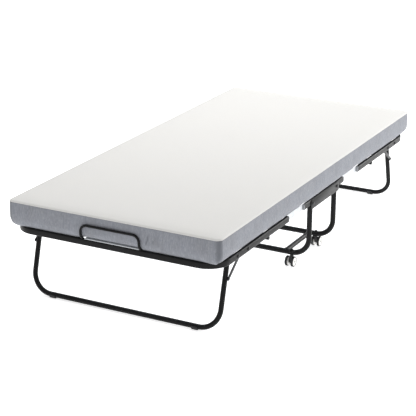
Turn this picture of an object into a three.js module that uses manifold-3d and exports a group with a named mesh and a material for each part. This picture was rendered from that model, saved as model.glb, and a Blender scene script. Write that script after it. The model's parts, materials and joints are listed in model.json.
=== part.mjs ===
// Rollaway guest bed: a foam mattress on a steel frame that folds in half over a
// fixed centre frame on casters. Each end deck swings up about a hinge at the
// centre frame and carries a folding U leg with a stay on each side.
//
// Frame: origin on the floor under the bed's centre, +X to the foot end, +Y to
// the left, +Z up. Millimetres.
//
// An end deck and its leg are modelled with +X pointing outwards, and the head
// end is the same assembly turned half a turn about Z.

import * as THREE from 'three';
import * as BufferGeometryUtils from 'three/addons/utils/BufferGeometryUtils.js';
import Module from 'manifold-3d';

const wasm = await Module();
wasm.setup();

// Mattress
const MATTRESS_LENGTH = 1900;
const MATTRESS_WIDTH = 900;
const MATTRESS_THICKNESS = 100;
const MATTRESS_CORNER_RADIUS = 22; // in plan
const MATTRESS_BOTTOM_RADIUS = 28; // lower edge
const MATTRESS_TOP_RADIUS = 4; // upper edge
const MATTRESS_GAP = 3.5; // above the rails, where the deck cloth lies

// Frame tubes
const RAIL_INSET = 5; // outer face inside the mattress's edge
const RAIL_WIDTH = 15;
const RAIL_HEIGHT = 25;
const RAIL_FILLET = 5;
const RAIL_BEND = 84; // centre line
const RAIL_TOP = 301;
const RAIL_OPEN = 712; // between the inner ends of the two end rails
const CROSS_TUBE_DIAMETER = 16;
const CROSS_TUBE_SPACING = 1052; // between the two end decks' cross tubes

// Hinge between each end deck and the centre frame
const HINGE_SPACING = 246.8;
const HINGE_DROP = 5.5; // below the rails' centre line
const ARM_HEIGHT = 14;
const ARM_THICKNESS = 5.7;
const ARM_OVERLAP = 140; // along the rail

// Centre frame
const CENTRE_RAIL_LENGTH = 396;
const CENTRE_RAIL_HEIGHT = 25;
const CENTRE_RAIL_WIDTH = 12;
const PLATE_LENGTH = 286;
const PLATE_HEIGHT = 41;
const PLATE_THICKNESS = 2.7;
const PLATE_CORNER = 14;
const CENTRE_CROSS_SPACING = 116;
const LOOP_DIAMETER = 22;
const LOOP_BEND = 72;
const LOOP_BAR_HEIGHT = 57;
const LOOP_INSET = 0; // behind the centre rail's outer face
const TIE_DIAMETER = 20;
const TIE_INSET = 103; // from the loop's uprights

// End leg
const LEG_DIAMETER = 20;
const LEG_PIVOT_INSET = 154; // from the mattress's end
const LEG_FOOT_INSET = 81; // foot bar from the mattress's end
const LEG_GAP = 16.3; // between an upright and the rail
const LEG_BEND = 80;
const LEG_HEAD = 8; // tube past its pivot
const PAD_LENGTH = 24;
const PAD_WALL = 3;
const PAD_BULGE = 0.8; // past its flat tread
const PAD_INSET = 94; // from the uprights' centre lines

// Stay and the slotted guide that it slides along
const STAY_WIDTH = 14;
const STAY_THICKNESS = 3;
const STAY_ANCHOR = 89; // down the leg from its pivot
const STAY_GAP = 2.3; // from the leg
const STAY_PIN_INSET = 250; // upper pin from the mattress's end
const RIVET_HEAD = 1.3;
const GUIDE_START_INSET = 229; // outer end from the mattress's end
const GUIDE_LENGTH = 169;
const GUIDE_HEIGHT = 19;
const GUIDE_THICKNESS = 4.2;
const GUIDE_SLOT = 9;
const GUIDE_MARGIN = 4; // of plate past the slot's inner end, and its corners' radius
const GUIDE_BOLT_INSET = 238;

// Mattress retainer at each end
const RETAINER_DIAMETER = 9.5;
const RETAINER_WIDTH = 258;
const RETAINER_RISE = 60; // of its top bar's centre line above the rail's top
const RETAINER_BEND = 27;
const RETAINER_FOOT_INSET = 5.5; // centre line inside the rail's outer face
const RETAINER_KNEE = 16; // above the rail's top
const RETAINER_STANDOFF = 6.8; // centre line outside the mattress's end

// Deck cloth
const CLOTH_THICKNESS = 2;
const CLOTH_HEM = 2;
const CLOTH_GAP = 0.8; // under the mattress
const POCKET_EASE = 1.5; // round the hinge arm
const FIXED_OVERLAP = 35; // of the fixed cloth and mattress past the hinge
const CLOTH_END_INSET = 25;
const POCKET_START = 205; // from the bed's centre
const POCKET_END = 352;

// Casters
const WHEEL_DIAMETER = 42;
const WHEEL_WIDTH = 11;
const WHEEL_SPACING = 26; // between the two wheels' middles
const AXLE_DIAMETER = 5;
const CASTER_TRAIL = 9;
const CASTER_STEM_DIAMETER = 10;
const CASTER_INSET = 74; // from the loop's uprights
const CASTER_BODY_WIDTH = 12;
const CASTER_WEB_DEPTH = 16;
const CASTER_WEB_DROP = 9; // of the web's upper end below the disc's top
const CASTER_DISC_HEIGHT = 4;
const TYRE_CHAMFER = 1.5;

// Fasteners and running clearances
const BOLT_DIAMETER = 8;
const BOLT_HEAD_DIAMETER = 14;
const BOLT_HEAD_HEIGHT = 2.7;
const NUT_LENGTH = 5;
const CLEARANCE = 0.3;
const FOLD_CLEARANCE = 7; // between pieces that pass while folding

const TUBE_SIDES = 12;
const WHEEL_SIDES = 16;
const BEND_STEPS = 6;
const CORNER_STEPS = 3; // round each corner of the mattress

// Worked out from the sizes above
const MATTRESS_BOTTOM = RAIL_TOP + MATTRESS_GAP;
const MATTRESS_TOP = MATTRESS_BOTTOM + MATTRESS_THICKNESS;
const RAIL_END_X = MATTRESS_LENGTH / 2 - RAIL_INSET;
const RAIL_OUTER_Y = MATTRESS_WIDTH / 2 - RAIL_INSET;
const RAIL_INNER_Y = RAIL_OUTER_Y - RAIL_WIDTH;
const RAIL_CENTRE_Z = RAIL_TOP - RAIL_HEIGHT / 2;
const HINGE_X = HINGE_SPACING / 2;
const HINGE_HEIGHT = RAIL_CENTRE_Z - HINGE_DROP;
const ARM_OUTER_Y = RAIL_INNER_Y - CLEARANCE;
const ARM_INNER_Y = ARM_OUTER_Y - ARM_THICKNESS;
const CENTRE_RAIL_OUTER_Y = RAIL_INNER_Y + CENTRE_RAIL_WIDTH;
const CENTRE_RAIL_TOP = RAIL_CENTRE_Z + CENTRE_RAIL_HEIGHT / 2;
const LOOP_Y = CENTRE_RAIL_OUTER_Y - LOOP_INSET - LOOP_DIAMETER / 2;
const LOOP_TOP = CENTRE_RAIL_TOP - CENTRE_RAIL_HEIGHT - CLEARANCE;
const TIE_Y = LOOP_Y - TIE_INSET;
const CASTER_Y = LOOP_Y - CASTER_INSET;
const LEG_Y = RAIL_INNER_Y - LEG_GAP - LEG_DIAMETER / 2;
const PAD_Y = LEG_Y - PAD_INSET;
const LEG_OUTER_Y = LEG_Y + LEG_DIAMETER / 2;
const LEG_PIVOT_X = MATTRESS_LENGTH / 2 - LEG_PIVOT_INSET;
const LEG_PIVOT_HEIGHT = RAIL_CENTRE_Z;
const FOOT_X = MATTRESS_LENGTH / 2 - LEG_FOOT_INSET;
const FOOT_Z = LEG_DIAMETER / 2 + PAD_WALL;
const LEG_REACH = Math.hypot(FOOT_X - LEG_PIVOT_X, LEG_PIVOT_HEIGHT - FOOT_Z);
const LEG_SPLAY = Math.atan2(FOOT_X - LEG_PIVOT_X, LEG_PIVOT_HEIGHT - FOOT_Z);
const STAY_INNER_Y = LEG_OUTER_Y + STAY_GAP;
const STAY_PIN_X = MATTRESS_LENGTH / 2 - STAY_PIN_INSET;
const STAY_PIN_HEIGHT = RAIL_CENTRE_Z;
const STAY_OUTER_Y = STAY_INNER_Y + STAY_THICKNESS;
const GUIDE_OUTER_Y = RAIL_INNER_Y - CLEARANCE;
const GUIDE_INNER_Y = GUIDE_OUTER_Y - GUIDE_THICKNESS;
const CLOTH_BOTTOM = MATTRESS_BOTTOM - CLOTH_GAP - CLOTH_THICKNESS;
const CLOTH_TOP = CLOTH_BOTTOM + CLOTH_THICKNESS;
// What swings up with an end deck passes the fixed pieces above the hinge line.
const FOLD_REACH = MATTRESS_TOP - HINGE_HEIGHT + FOLD_CLEARANCE;
const SWINGING_START = HINGE_X + FOLD_REACH;
const FIXED_END = HINGE_X + FIXED_OVERLAP;

const steel = new THREE.MeshStandardMaterial({ color: 0x2b2c2e, roughness: 0.45, metalness: 0.6 });
const zinc = new THREE.MeshStandardMaterial({ color: 0x3a3b3d, roughness: 0.4, metalness: 0.8 });
const rubber = new THREE.MeshStandardMaterial({ color: 0x17181a, roughness: 0.85, metalness: 0 });
const nylon = new THREE.MeshStandardMaterial({ color: 0xe9e9e7, roughness: 0.5, metalness: 0 });
const cloth = new THREE.MeshStandardMaterial({ color: 0xeceef0, roughness: 0.95, metalness: 0 });
const border = new THREE.MeshStandardMaterial({ color: 0x9ea3ad, roughness: 0.95, metalness: 0 });

// A path of straight runs and round bends, sampled only where it has to turn.
class BentPath extends THREE.Curve {
  constructor(corners, radius) {
    super();
    this.points = [corners[0]];
    this.tangents = [corners[1].clone().sub(corners[0]).normalize()];
    for (let i = 1; i < corners.length - 1; i += 1) {
      this.addBend(corners[i - 1], corners[i], corners[i + 1], radius);
    }
    this.points.push(corners.at(-1));
    this.tangents.push(corners.at(-1).clone().sub(corners.at(-2)).normalize());
  }

  addBend(before, corner, after, radius) {
    const incoming = corner.clone().sub(before).normalize();
    const outgoing = after.clone().sub(corner).normalize();
    const turn = incoming.angleTo(outgoing);
    const axis = incoming.clone().cross(outgoing).normalize();
    const start = corner.clone().addScaledVector(incoming, -radius * Math.tan(turn / 2));
    const inwards = axis.clone().cross(incoming);
    const centre = start.clone().addScaledVector(inwards, radius);
    for (let step = 0; step <= BEND_STEPS; step += 1) {
      const angle = (turn * step) / BEND_STEPS;
      const arm = start.clone().sub(centre).applyAxisAngle(axis, angle);
      this.points.push(centre.clone().add(arm));
      this.tangents.push(incoming.clone().applyAxisAngle(axis, angle));
    }
  }

  station(u) {
    return Math.round(u * (this.points.length - 1));
  }

  getPointAt(u) {
    return this.points[this.station(u)].clone();
  }

  getTangentAt(u) {
    return this.tangents[this.station(u)].clone();
  }
}

function sweep(section, path) {
  return new THREE.ExtrudeGeometry(section, {
    extrudePath: path,
    steps: path.points.length - 1,
    curveSegments: TUBE_SIDES / 2,
  });
}

function roundSection(diameter) {
  const section = new THREE.Shape();
  section.absarc(0, 0, diameter / 2, 0, Math.PI * 2);
  return section;
}

// A rectangle with rounded corners, its corner arcs drawn with a few short sides.
function roundedRectangle(width, height, radius, steps = 2) {
  const outline = [];
  const corners = [[1, 1], [-1, 1], [-1, -1], [1, -1]];
  corners.forEach(([sx, sy], quarter) => {
    for (let step = 0; step <= steps; step += 1) {
      const angle = (Math.PI / 2) * (quarter + step / steps);
      outline.push(new THREE.Vector2(
        sx * (width / 2 - radius) + radius * Math.cos(angle),
        sy * (height / 2 - radius) + radius * Math.sin(angle),
      ));
    }
  });
  return new THREE.Shape(outline);
}

function tube(corners, bend, diameter) {
  return sweep(roundSection(diameter), new BentPath(corners, bend));
}

function straightTube(from, to, diameter) {
  return tube([from, to], 0, diameter);
}

// A plate drawn in the X-Z plane and given its thickness along Y.
function plate(shape, innerY, outerY) {
  const geometry = new THREE.ExtrudeGeometry(shape, {
    depth: Math.abs(outerY - innerY),
    bevelEnabled: false,
    curveSegments: TUBE_SIDES / 2,
  });
  geometry.rotateX(Math.PI / 2);
  geometry.translate(0, Math.max(innerY, outerY), 0);
  return geometry;
}

// A flat bar with round ends, from one pin to another in the X-Z plane.
function barShape(from, to, width) {
  const radius = width / 2;
  const along = Math.atan2(to.y - from.y, to.x - from.x);
  const shape = new THREE.Shape();
  shape.absarc(from.x, from.y, radius, along + Math.PI / 2, along + Math.PI * 1.5);
  shape.absarc(to.x, to.y, radius, along - Math.PI / 2, along + Math.PI / 2);
  return shape;
}

// A turned piece on a pin along Y: profile is [radius, |y|] from inside to outside.
function turned(profile, side, x, z, sides = TUBE_SIDES) {
  const points = profile.map(([radius, y]) => new THREE.Vector2(radius, y));
  const geometry = new THREE.LatheGeometry(points, sides);
  if (side < 0) geometry.rotateZ(Math.PI);
  geometry.translate(x, 0, z);
  return geometry;
}

function pin(radius, side, x, z, innerY, outerY) {
  return turned([[0, innerY], [radius, innerY], [radius, outerY], [0, outerY]], side, x, z);
}

function toSolid(geometry) {
  const bare = geometry.clone();
  bare.deleteAttribute('normal');
  bare.deleteAttribute('uv');
  const merged = BufferGeometryUtils.mergeVertices(bare, 1e-4);
  return new wasm.Manifold(new wasm.Mesh({
    numProp: 3,
    vertProperties: new Float32Array(merged.attributes.position.array),
    triVerts: new Uint32Array(merged.index.array),
  }));
}

function fromSolid(solid) {
  const mesh = solid.getMesh();
  const geometry = new THREE.BufferGeometry();
  geometry.setAttribute('position', new THREE.BufferAttribute(mesh.vertProperties, 3));
  geometry.setIndex(new THREE.BufferAttribute(mesh.triVerts, 1));
  geometry.computeVertexNormals();
  return geometry;
}

function cut(geometry, tools) {
  return fromSolid(tools.reduce((solid, tool) => solid.subtract(toSolid(tool)), toSolid(geometry)));
}

function join(geometries) {
  const [first, ...rest] = geometries.map(toSolid);
  return fromSolid(rest.reduce((solid, next) => solid.add(next), first));
}

function block(minX, maxX, minY, maxY, minZ, maxZ) {
  const geometry = new THREE.BoxGeometry(maxX - minX, maxY - minY, maxZ - minZ);
  geometry.translate((minX + maxX) / 2, (minY + maxY) / 2, (minZ + maxZ) / 2);
  return geometry;
}

function boltHole(side, x, z, innerY, outerY) {
  const past = 2;
  return pin(BOLT_DIAMETER / 2 + CLEARANCE, side, x, z, innerY - past, outerY + past);
}

// The outer end of a bolt's profile: a low dome head.
function headProfile(face) {
  const head = BOLT_HEAD_DIAMETER / 2;
  const shoulder = [head * 0.8, face + BOLT_HEAD_HEIGHT * 0.7];
  return [[BOLT_DIAMETER / 2, face], [head, face], shoulder, [0, face + BOLT_HEAD_HEIGHT]];
}

const point = (x, y, z) => new THREE.Vector3(x, y, z);

// The whole mattress as one closed skin of rings, later cut into its parts.
function mattressBlock() {
  const rings = mattressRings();
  const count = rings[0].length;
  const positions = rings.flat().flatMap((p) => p.toArray());
  const faces = [];
  for (let ring = 0; ring < rings.length - 1; ring += 1) {
    for (let i = 0; i < count; i += 1) {
      const a = ring * count + i;
      const b = ring * count + ((i + 1) % count);
      faces.push(a, b, b + count, a, b + count, a + count);
    }
  }
  const lastRing = (rings.length - 1) * count;
  for (let i = 1; i < count - 1; i += 1) {
    faces.push(0, i + 1, i, lastRing, lastRing + i, lastRing + i + 1);
  }
  const geometry = new THREE.BufferGeometry();
  geometry.setAttribute('position', new THREE.Float32BufferAttribute(positions, 3));
  geometry.setIndex(faces);
  return geometry;
}

// Level outlines from the bottom up: the lower edge is a large round, the upper a small one.
function mattressRings() {
  const levels = [];
  for (let step = 0; step <= 4; step += 1) {
    const angle = (Math.PI / 2) * (step / 4);
    levels.push([
      MATTRESS_BOTTOM + MATTRESS_BOTTOM_RADIUS * (1 - Math.cos(angle)),
      MATTRESS_BOTTOM_RADIUS * (1 - Math.sin(angle)),
    ]);
  }
  levels.push([MATTRESS_TOP - MATTRESS_TOP_RADIUS, 0], [MATTRESS_TOP, MATTRESS_TOP_RADIUS / 2]);
  return levels.map(([z, inset]) => {
    const radius = Math.max(MATTRESS_CORNER_RADIUS - inset, 1);
    const length = MATTRESS_LENGTH - 2 * inset;
    const width = MATTRESS_WIDTH - 2 * inset;
    const outline = roundedRectangle(length, width, radius, CORNER_STEPS).getPoints();
    return outline.slice(0, 4 * (CORNER_STEPS + 1)).map((p) => point(p.x, p.y, z));
  });
}

function mattressPart(fromX, toX) {
  const slab = block(fromX, toX, -MATTRESS_WIDTH, MATTRESS_WIDTH, 0, 2 * MATTRESS_TOP);
  return toSolid(mattressBlock()).intersect(toSolid(slab));
}

function mesh(name, geometry, material) {
  const piece = new THREE.Mesh(geometry, material);
  piece.name = name;
  return piece;
}

const sides = [1, -1];

// ---- Centre frame ----

function centreRail(side) {
  const section = roundedRectangle(CENTRE_RAIL_HEIGHT, CENTRE_RAIL_WIDTH, RAIL_FILLET);
  const y = side * (RAIL_INNER_Y + CENTRE_RAIL_OUTER_Y) / 2;
  const half = CENTRE_RAIL_LENGTH / 2;
  const path = new BentPath([point(-half, y, RAIL_CENTRE_Z), point(half, y, RAIL_CENTRE_Z)], 0);
  const holes = [-HINGE_X, HINGE_X].map(
    (x) => boltHole(side, x, HINGE_HEIGHT, RAIL_INNER_Y, CENTRE_RAIL_OUTER_Y),
  );
  return cut(sweep(section, path), holes);
}

function sidePlate(side) {
  const middle = new THREE.Vector2(0, CENTRE_RAIL_TOP - PLATE_HEIGHT / 2);
  const outline = roundedRectangle(PLATE_LENGTH, PLATE_HEIGHT, PLATE_CORNER).getPoints();
  const shape = new THREE.Shape(outline.map((p) => p.add(middle)));
  const inner = CENTRE_RAIL_OUTER_Y + CLEARANCE;
  const outer = inner + PLATE_THICKNESS;
  const holes = [-HINGE_X, HINGE_X].map((x) => boltHole(side, x, HINGE_HEIGHT, inner, outer));
  return cut(plate(shape, side * inner, side * outer), holes);
}

function casterLoop(x) {
  const corners = [
    point(x, -LOOP_Y, LOOP_TOP), point(x, -LOOP_Y, LOOP_BAR_HEIGHT),
    point(x, LOOP_Y, LOOP_BAR_HEIGHT), point(x, LOOP_Y, LOOP_TOP),
  ];
  const stemHoles = sides.map((side) => {
    const radius = CASTER_STEM_DIAMETER / 2 + CLEARANCE;
    const hole = new THREE.CylinderGeometry(radius, radius, LOOP_DIAMETER, TUBE_SIDES);
    hole.rotateX(Math.PI / 2);
    hole.translate(x, side * CASTER_Y, LOOP_BAR_HEIGHT - LOOP_DIAMETER / 2);
    return hole;
  });
  return cut(tube(corners, LOOP_BEND, LOOP_DIAMETER), stemHoles);
}

function loopTie(side) {
  const y = side * TIE_Y;
  const bars = [-HINGE_X, HINGE_X].map((x) => straightTube(
    point(x, y - TIE_DIAMETER, LOOP_BAR_HEIGHT),
    point(x, y + TIE_DIAMETER, LOOP_BAR_HEIGHT),
    LOOP_DIAMETER + 2 * CLEARANCE,
  ));
  const tie = straightTube(
    point(-HINGE_X, y, LOOP_BAR_HEIGHT), point(HINGE_X, y, LOOP_BAR_HEIGHT), TIE_DIAMETER,
  );
  return fromSolid(bars.reduce((solid, bar) => solid.subtract(toSolid(bar)), toSolid(tie))
    .decompose().sort((a, b) => b.volume() - a.volume())[0]);
}

function centreCross() {
  const x = CENTRE_CROSS_SPACING / 2;
  const reach = RAIL_INNER_Y - CLEARANCE;
  return straightTube(
    point(x, -reach, HINGE_HEIGHT), point(x, reach, HINGE_HEIGHT), CROSS_TUBE_DIAMETER,
  );
}

// A dome-head bolt: nut inside, shank through the arm and rail, head outside.
function hingeBolt(side, x) {
  const shank = BOLT_DIAMETER / 2;
  const nut = BOLT_HEAD_DIAMETER / 2;
  const nutFace = ARM_INNER_Y - CLEARANCE;
  const nutEnd = nutFace - NUT_LENGTH;
  const inner = [[0, nutEnd], [nut, nutEnd], [nut, nutFace], [shank, nutFace]];
  return turned([...inner, ...headProfile(RAIL_OUTER_Y + CLEARANCE)], side, x, HINGE_HEIGHT);
}

function centreCloth() {
  const reach = ARM_INNER_Y - FOLD_CLEARANCE;
  return block(-FIXED_END, FIXED_END, -reach, reach, CLOTH_BOTTOM, CLOTH_TOP);
}

// The fixed middle of the mattress is notched where the hinge arms swing up past it.
function centreMattress() {
  const notchX = HINGE_X - (CLOTH_TOP - HINGE_HEIGHT) - CLOTH_HEM;
  const notchY = ARM_INNER_Y - FOLD_CLEARANCE;
  let solid = mattressPart(-FIXED_END, FIXED_END);
  for (const end of sides) {
    for (const side of sides) {
      const notch = new THREE.BoxGeometry(2 * FIXED_END, MATTRESS_WIDTH, 2 * MATTRESS_THICKNESS);
      notch.translate(
        end * (notchX + FIXED_END),
        side * (notchY + MATTRESS_WIDTH / 2),
        MATTRESS_BOTTOM + MATTRESS_THICKNESS / 2,
      );
      solid = solid.subtract(toSolid(notch));
    }
  }
  return fromSolid(solid);
}

function centreFrame() {
  const group = new THREE.Group();
  group.add(mesh('caster_loop_head', casterLoop(-HINGE_X), steel));
  group.add(mesh('caster_loop_foot', casterLoop(HINGE_X), steel));
  group.add(mesh('centre_cross_tube', centreCross(), steel));
  group.add(mesh('centre_deck_cloth', centreCloth(), cloth));
  group.add(mesh('mattress_centre', centreMattress(), border));
  for (const side of sides) {
    const hand = side > 0 ? 'left' : 'right';
    group.add(mesh(`centre_rail_${hand}`, centreRail(side), steel));
    group.add(mesh(`side_plate_${hand}`, sidePlate(side), steel));
    group.add(mesh(`loop_tie_${hand}`, loopTie(side), steel));
    group.add(mesh(`hinge_bolt_head_${hand}`, hingeBolt(side, -HINGE_X), zinc));
    group.add(mesh(`hinge_bolt_foot_${hand}`, hingeBolt(side, HINGE_X), zinc));
  }
  return group;
}

// ---- End deck, with +X outwards ----

function endRail() {
  const section = roundedRectangle(RAIL_HEIGHT, RAIL_WIDTH, RAIL_FILLET);
  const y = RAIL_OUTER_Y - RAIL_WIDTH / 2;
  const farX = RAIL_END_X - RAIL_WIDTH / 2;
  const corners = [
    point(RAIL_OPEN / 2, -y, RAIL_CENTRE_Z), point(farX, -y, RAIL_CENTRE_Z),
    point(farX, y, RAIL_CENTRE_Z), point(RAIL_OPEN / 2, y, RAIL_CENTRE_Z),
  ];
  const boltX = [LEG_PIVOT_X, MATTRESS_LENGTH / 2 - GUIDE_BOLT_INSET];
  const holes = sides.flatMap((side) => boltX.map(
    (x) => boltHole(side, x, LEG_PIVOT_HEIGHT, RAIL_INNER_Y, RAIL_OUTER_Y),
  ));
  return cut(sweep(section, new BentPath(corners, RAIL_BEND)), holes);
}

function endCross() {
  const x = CROSS_TUBE_SPACING / 2;
  const z = RAIL_TOP - RAIL_HEIGHT - CLEARANCE - CROSS_TUBE_DIAMETER / 2;
  const reach = RAIL_OUTER_Y - RAIL_WIDTH / 3;
  return straightTube(point(x, -reach, z), point(x, reach, z), CROSS_TUBE_DIAMETER);
}

function hingeArm(side) {
  const hinge = new THREE.Vector2(HINGE_X, HINGE_HEIGHT);
  const outer = new THREE.Vector2(RAIL_OPEN / 2 + ARM_OVERLAP, RAIL_CENTRE_Z);
  const arm = plate(barShape(hinge, outer, ARM_HEIGHT), side * ARM_INNER_Y, side * ARM_OUTER_Y);
  return cut(arm, [boltHole(side, HINGE_X, HINGE_HEIGHT, ARM_INNER_Y, ARM_OUTER_Y)]);
}

function legBolt(side) {
  const shank = BOLT_DIAMETER / 2;
  const head = BOLT_HEAD_DIAMETER / 2;
  const nutFace = LEG_Y - LEG_DIAMETER / 2 - CLEARANCE;
  const nutEnd = nutFace - NUT_LENGTH;
  const bush = LEG_OUTER_Y + CLEARANCE;
  const bushEnd = RAIL_INNER_Y - CLEARANCE;
  return turned([
    [0, nutEnd], [head, nutEnd], [head, nutFace], [shank, nutFace],
    [shank, bush], [head, bush], [head, bushEnd], [shank, bushEnd],
    ...headProfile(RAIL_OUTER_Y + CLEARANCE),
  ], side, LEG_PIVOT_X, LEG_PIVOT_HEIGHT);
}

// A slotted plate behind the rail, held by one stud through the rail.
function stayGuide(side) {
  const outerX = MATTRESS_LENGTH / 2 - GUIDE_START_INSET;
  const middle = new THREE.Vector2(outerX - GUIDE_LENGTH / 2, STAY_PIN_HEIGHT);
  const outline = roundedRectangle(GUIDE_LENGTH, GUIDE_HEIGHT, GUIDE_MARGIN).getPoints();
  const shape = new THREE.Shape(outline.map((p) => p.add(middle)));
  const slotStart = outerX - GUIDE_LENGTH + GUIDE_MARGIN + GUIDE_SLOT / 2;
  shape.holes.push(barShape(
    new THREE.Vector2(slotStart, STAY_PIN_HEIGHT),
    new THREE.Vector2(STAY_PIN_X, STAY_PIN_HEIGHT), GUIDE_SLOT,
  ));
  const studStart = (GUIDE_INNER_Y + GUIDE_OUTER_Y) / 2;
  const stud = turned([
    [0, studStart], [BOLT_DIAMETER / 2, studStart], ...headProfile(RAIL_OUTER_Y + CLEARANCE),
  ], side, MATTRESS_LENGTH / 2 - GUIDE_BOLT_INSET, LEG_PIVOT_HEIGHT);
  return join([plate(shape, side * GUIDE_INNER_Y, side * GUIDE_OUTER_Y), stud]);
}

// The retainer stands on the rail and steps out past the mattress's rounded lower edge.
function retainer() {
  const half = (RETAINER_WIDTH - RETAINER_DIAMETER) / 2;
  const footX = RAIL_END_X - RETAINER_FOOT_INSET;
  const topX = MATTRESS_LENGTH / 2 + RETAINER_STANDOFF;
  const kneeX = topX - 1;
  const kneeZ = RAIL_TOP + RETAINER_KNEE;
  const topZ = RAIL_TOP + RETAINER_RISE;
  const slope = (kneeX - footX) / RETAINER_KNEE;
  const startX = footX - slope * RETAINER_DIAMETER;
  const startZ = RAIL_TOP - RETAINER_DIAMETER;
  const corners = [
    point(startX, -half, startZ), point(kneeX, -half, kneeZ), point(topX, -half, topZ),
    point(topX, half, topZ), point(kneeX, half, kneeZ), point(startX, half, startZ),
  ];
  const floor = RAIL_TOP + CLEARANCE;
  const belowRail = block(0, MATTRESS_LENGTH, -MATTRESS_WIDTH, MATTRESS_WIDTH, 0, floor);
  return cut(tube(corners, RETAINER_BEND, RETAINER_DIAMETER), [belowRail]);
}

// A panel over the rails, with a pocket along each side that wraps the hinge arm.
function endCloth() {
  const reach = ARM_OUTER_Y + POCKET_EASE + CLOTH_HEM;
  const panelEnd = RAIL_END_X - CLOTH_END_INSET;
  const panel = block(SWINGING_START, panelEnd, -reach, reach, CLOTH_BOTTOM, CLOTH_TOP);
  const pockets = sides.map((side) => {
    const innerY = ARM_INNER_Y - POCKET_EASE - CLOTH_HEM;
    const bottom = HINGE_HEIGHT - ARM_HEIGHT / 2 - CLOTH_HEM - CLEARANCE;
    const lowY = Math.min(side * innerY, side * reach);
    const highY = Math.max(side * innerY, side * reach);
    const skin = block(POCKET_START, POCKET_END, lowY, highY, bottom, CLOTH_TOP);
    const hollow = block(
      POCKET_START - CLOTH_HEM, POCKET_END + CLOTH_HEM,
      lowY + CLOTH_HEM, highY - CLOTH_HEM, bottom + CLOTH_HEM, CLOTH_BOTTOM,
    );
    return cut(skin, [hollow]);
  });
  return join([panel, ...pockets]);
}

function endDeck(end, label) {
  const group = new THREE.Group();
  group.rotation.z = end > 0 ? 0 : Math.PI;
  group.add(mesh(`${label}_rail`, endRail(), steel));
  group.add(mesh(`${label}_cross_tube`, endCross(), steel));
  group.add(mesh(`${label}_retainer`, retainer(), steel));
  group.add(mesh(`${label}_deck_cloth`, endCloth(), cloth));
  const mattress = fromSolid(mattressPart(SWINGING_START, MATTRESS_LENGTH));
  group.add(mesh(`mattress_${label}`, mattress, border));
  for (const side of sides) {
    const hand = side * end > 0 ? 'left' : 'right';
    group.add(mesh(`${label}_hinge_arm_${hand}`, hingeArm(side), steel));
    group.add(mesh(`${label}_leg_bolt_${hand}`, legBolt(side), zinc));
    group.add(mesh(`${label}_stay_guide_${hand}`, stayGuide(side), zinc));
  }
  return group;
}

// ---- End leg, with +X outwards ----

function legTube() {
  const lean = (distance) => point(
    LEG_PIVOT_X + distance * Math.sin(LEG_SPLAY), 0, LEG_PIVOT_HEIGHT - distance * Math.cos(LEG_SPLAY),
  );
  const top = lean(-LEG_HEAD);
  const foot = lean(LEG_REACH);
  const at = (base, side) => point(base.x, side * LEG_Y, base.z);
  const geometry = tube([at(top, -1), at(foot, -1), at(foot, 1), at(top, 1)], LEG_BEND, LEG_DIAMETER);
  const holes = sides.map((side) => boltHole(
    side, LEG_PIVOT_X, LEG_PIVOT_HEIGHT, LEG_Y - LEG_DIAMETER / 2, LEG_OUTER_Y,
  ));
  return cut(geometry, holes);
}

// A rubber sleeve on the foot bar with a flat tread.
function footPad(side) {
  const bore = (LEG_DIAMETER / 2 + CLEARANCE) / Math.cos(Math.PI / TUBE_SIDES);
  const outer = LEG_DIAMETER / 2 + PAD_WALL + PAD_BULGE;
  const treadHalf = Math.acos(FOOT_Z / outer);
  const shape = new THREE.Shape();
  shape.absarc(0, 0, outer, -Math.PI / 2 + treadHalf, Math.PI * 1.5 - treadHalf);
  const hole = new THREE.Path();
  hole.absarc(0, 0, bore, 0, Math.PI * 2);
  shape.holes.push(hole);
  const middle = side * PAD_Y;
  const geometry = plate(shape, middle - PAD_LENGTH / 2, middle + PAD_LENGTH / 2);
  geometry.translate(FOOT_X, 0, FOOT_Z);
  return geometry;
}

function stay(side) {
  const anchor = new THREE.Vector2(
    LEG_PIVOT_X + STAY_ANCHOR * Math.sin(LEG_SPLAY),
    LEG_PIVOT_HEIGHT - STAY_ANCHOR * Math.cos(LEG_SPLAY),
  );
  const slider = new THREE.Vector2(STAY_PIN_X, STAY_PIN_HEIGHT);
  const radius = BOLT_DIAMETER / 2;
  const bar = plate(barShape(anchor, slider, STAY_WIDTH), side * STAY_INNER_Y, side * STAY_OUTER_Y);
  const middle = (STAY_INNER_Y + STAY_OUTER_Y) / 2;
  const rivetEnd = STAY_OUTER_Y + RIVET_HEAD;
  const rivet = pin(radius, side, anchor.x, anchor.y, LEG_OUTER_Y + CLEARANCE, rivetEnd);
  const slide = pin(radius, side, slider.x, slider.y, middle, GUIDE_INNER_Y - CLEARANCE);
  return join([bar, rivet, slide]);
}

function endLeg(end, label) {
  const group = new THREE.Group();
  group.rotation.z = end > 0 ? 0 : Math.PI;
  group.add(mesh(`${label}_leg`, legTube(), steel));
  for (const side of sides) {
    const hand = side * end > 0 ? 'left' : 'right';
    group.add(mesh(`${label}_foot_pad_${hand}`, footPad(side), rubber));
    group.add(mesh(`${label}_stay_${hand}`, stay(side), zinc));
  }
  return group;
}

// ---- Casters ----

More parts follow.
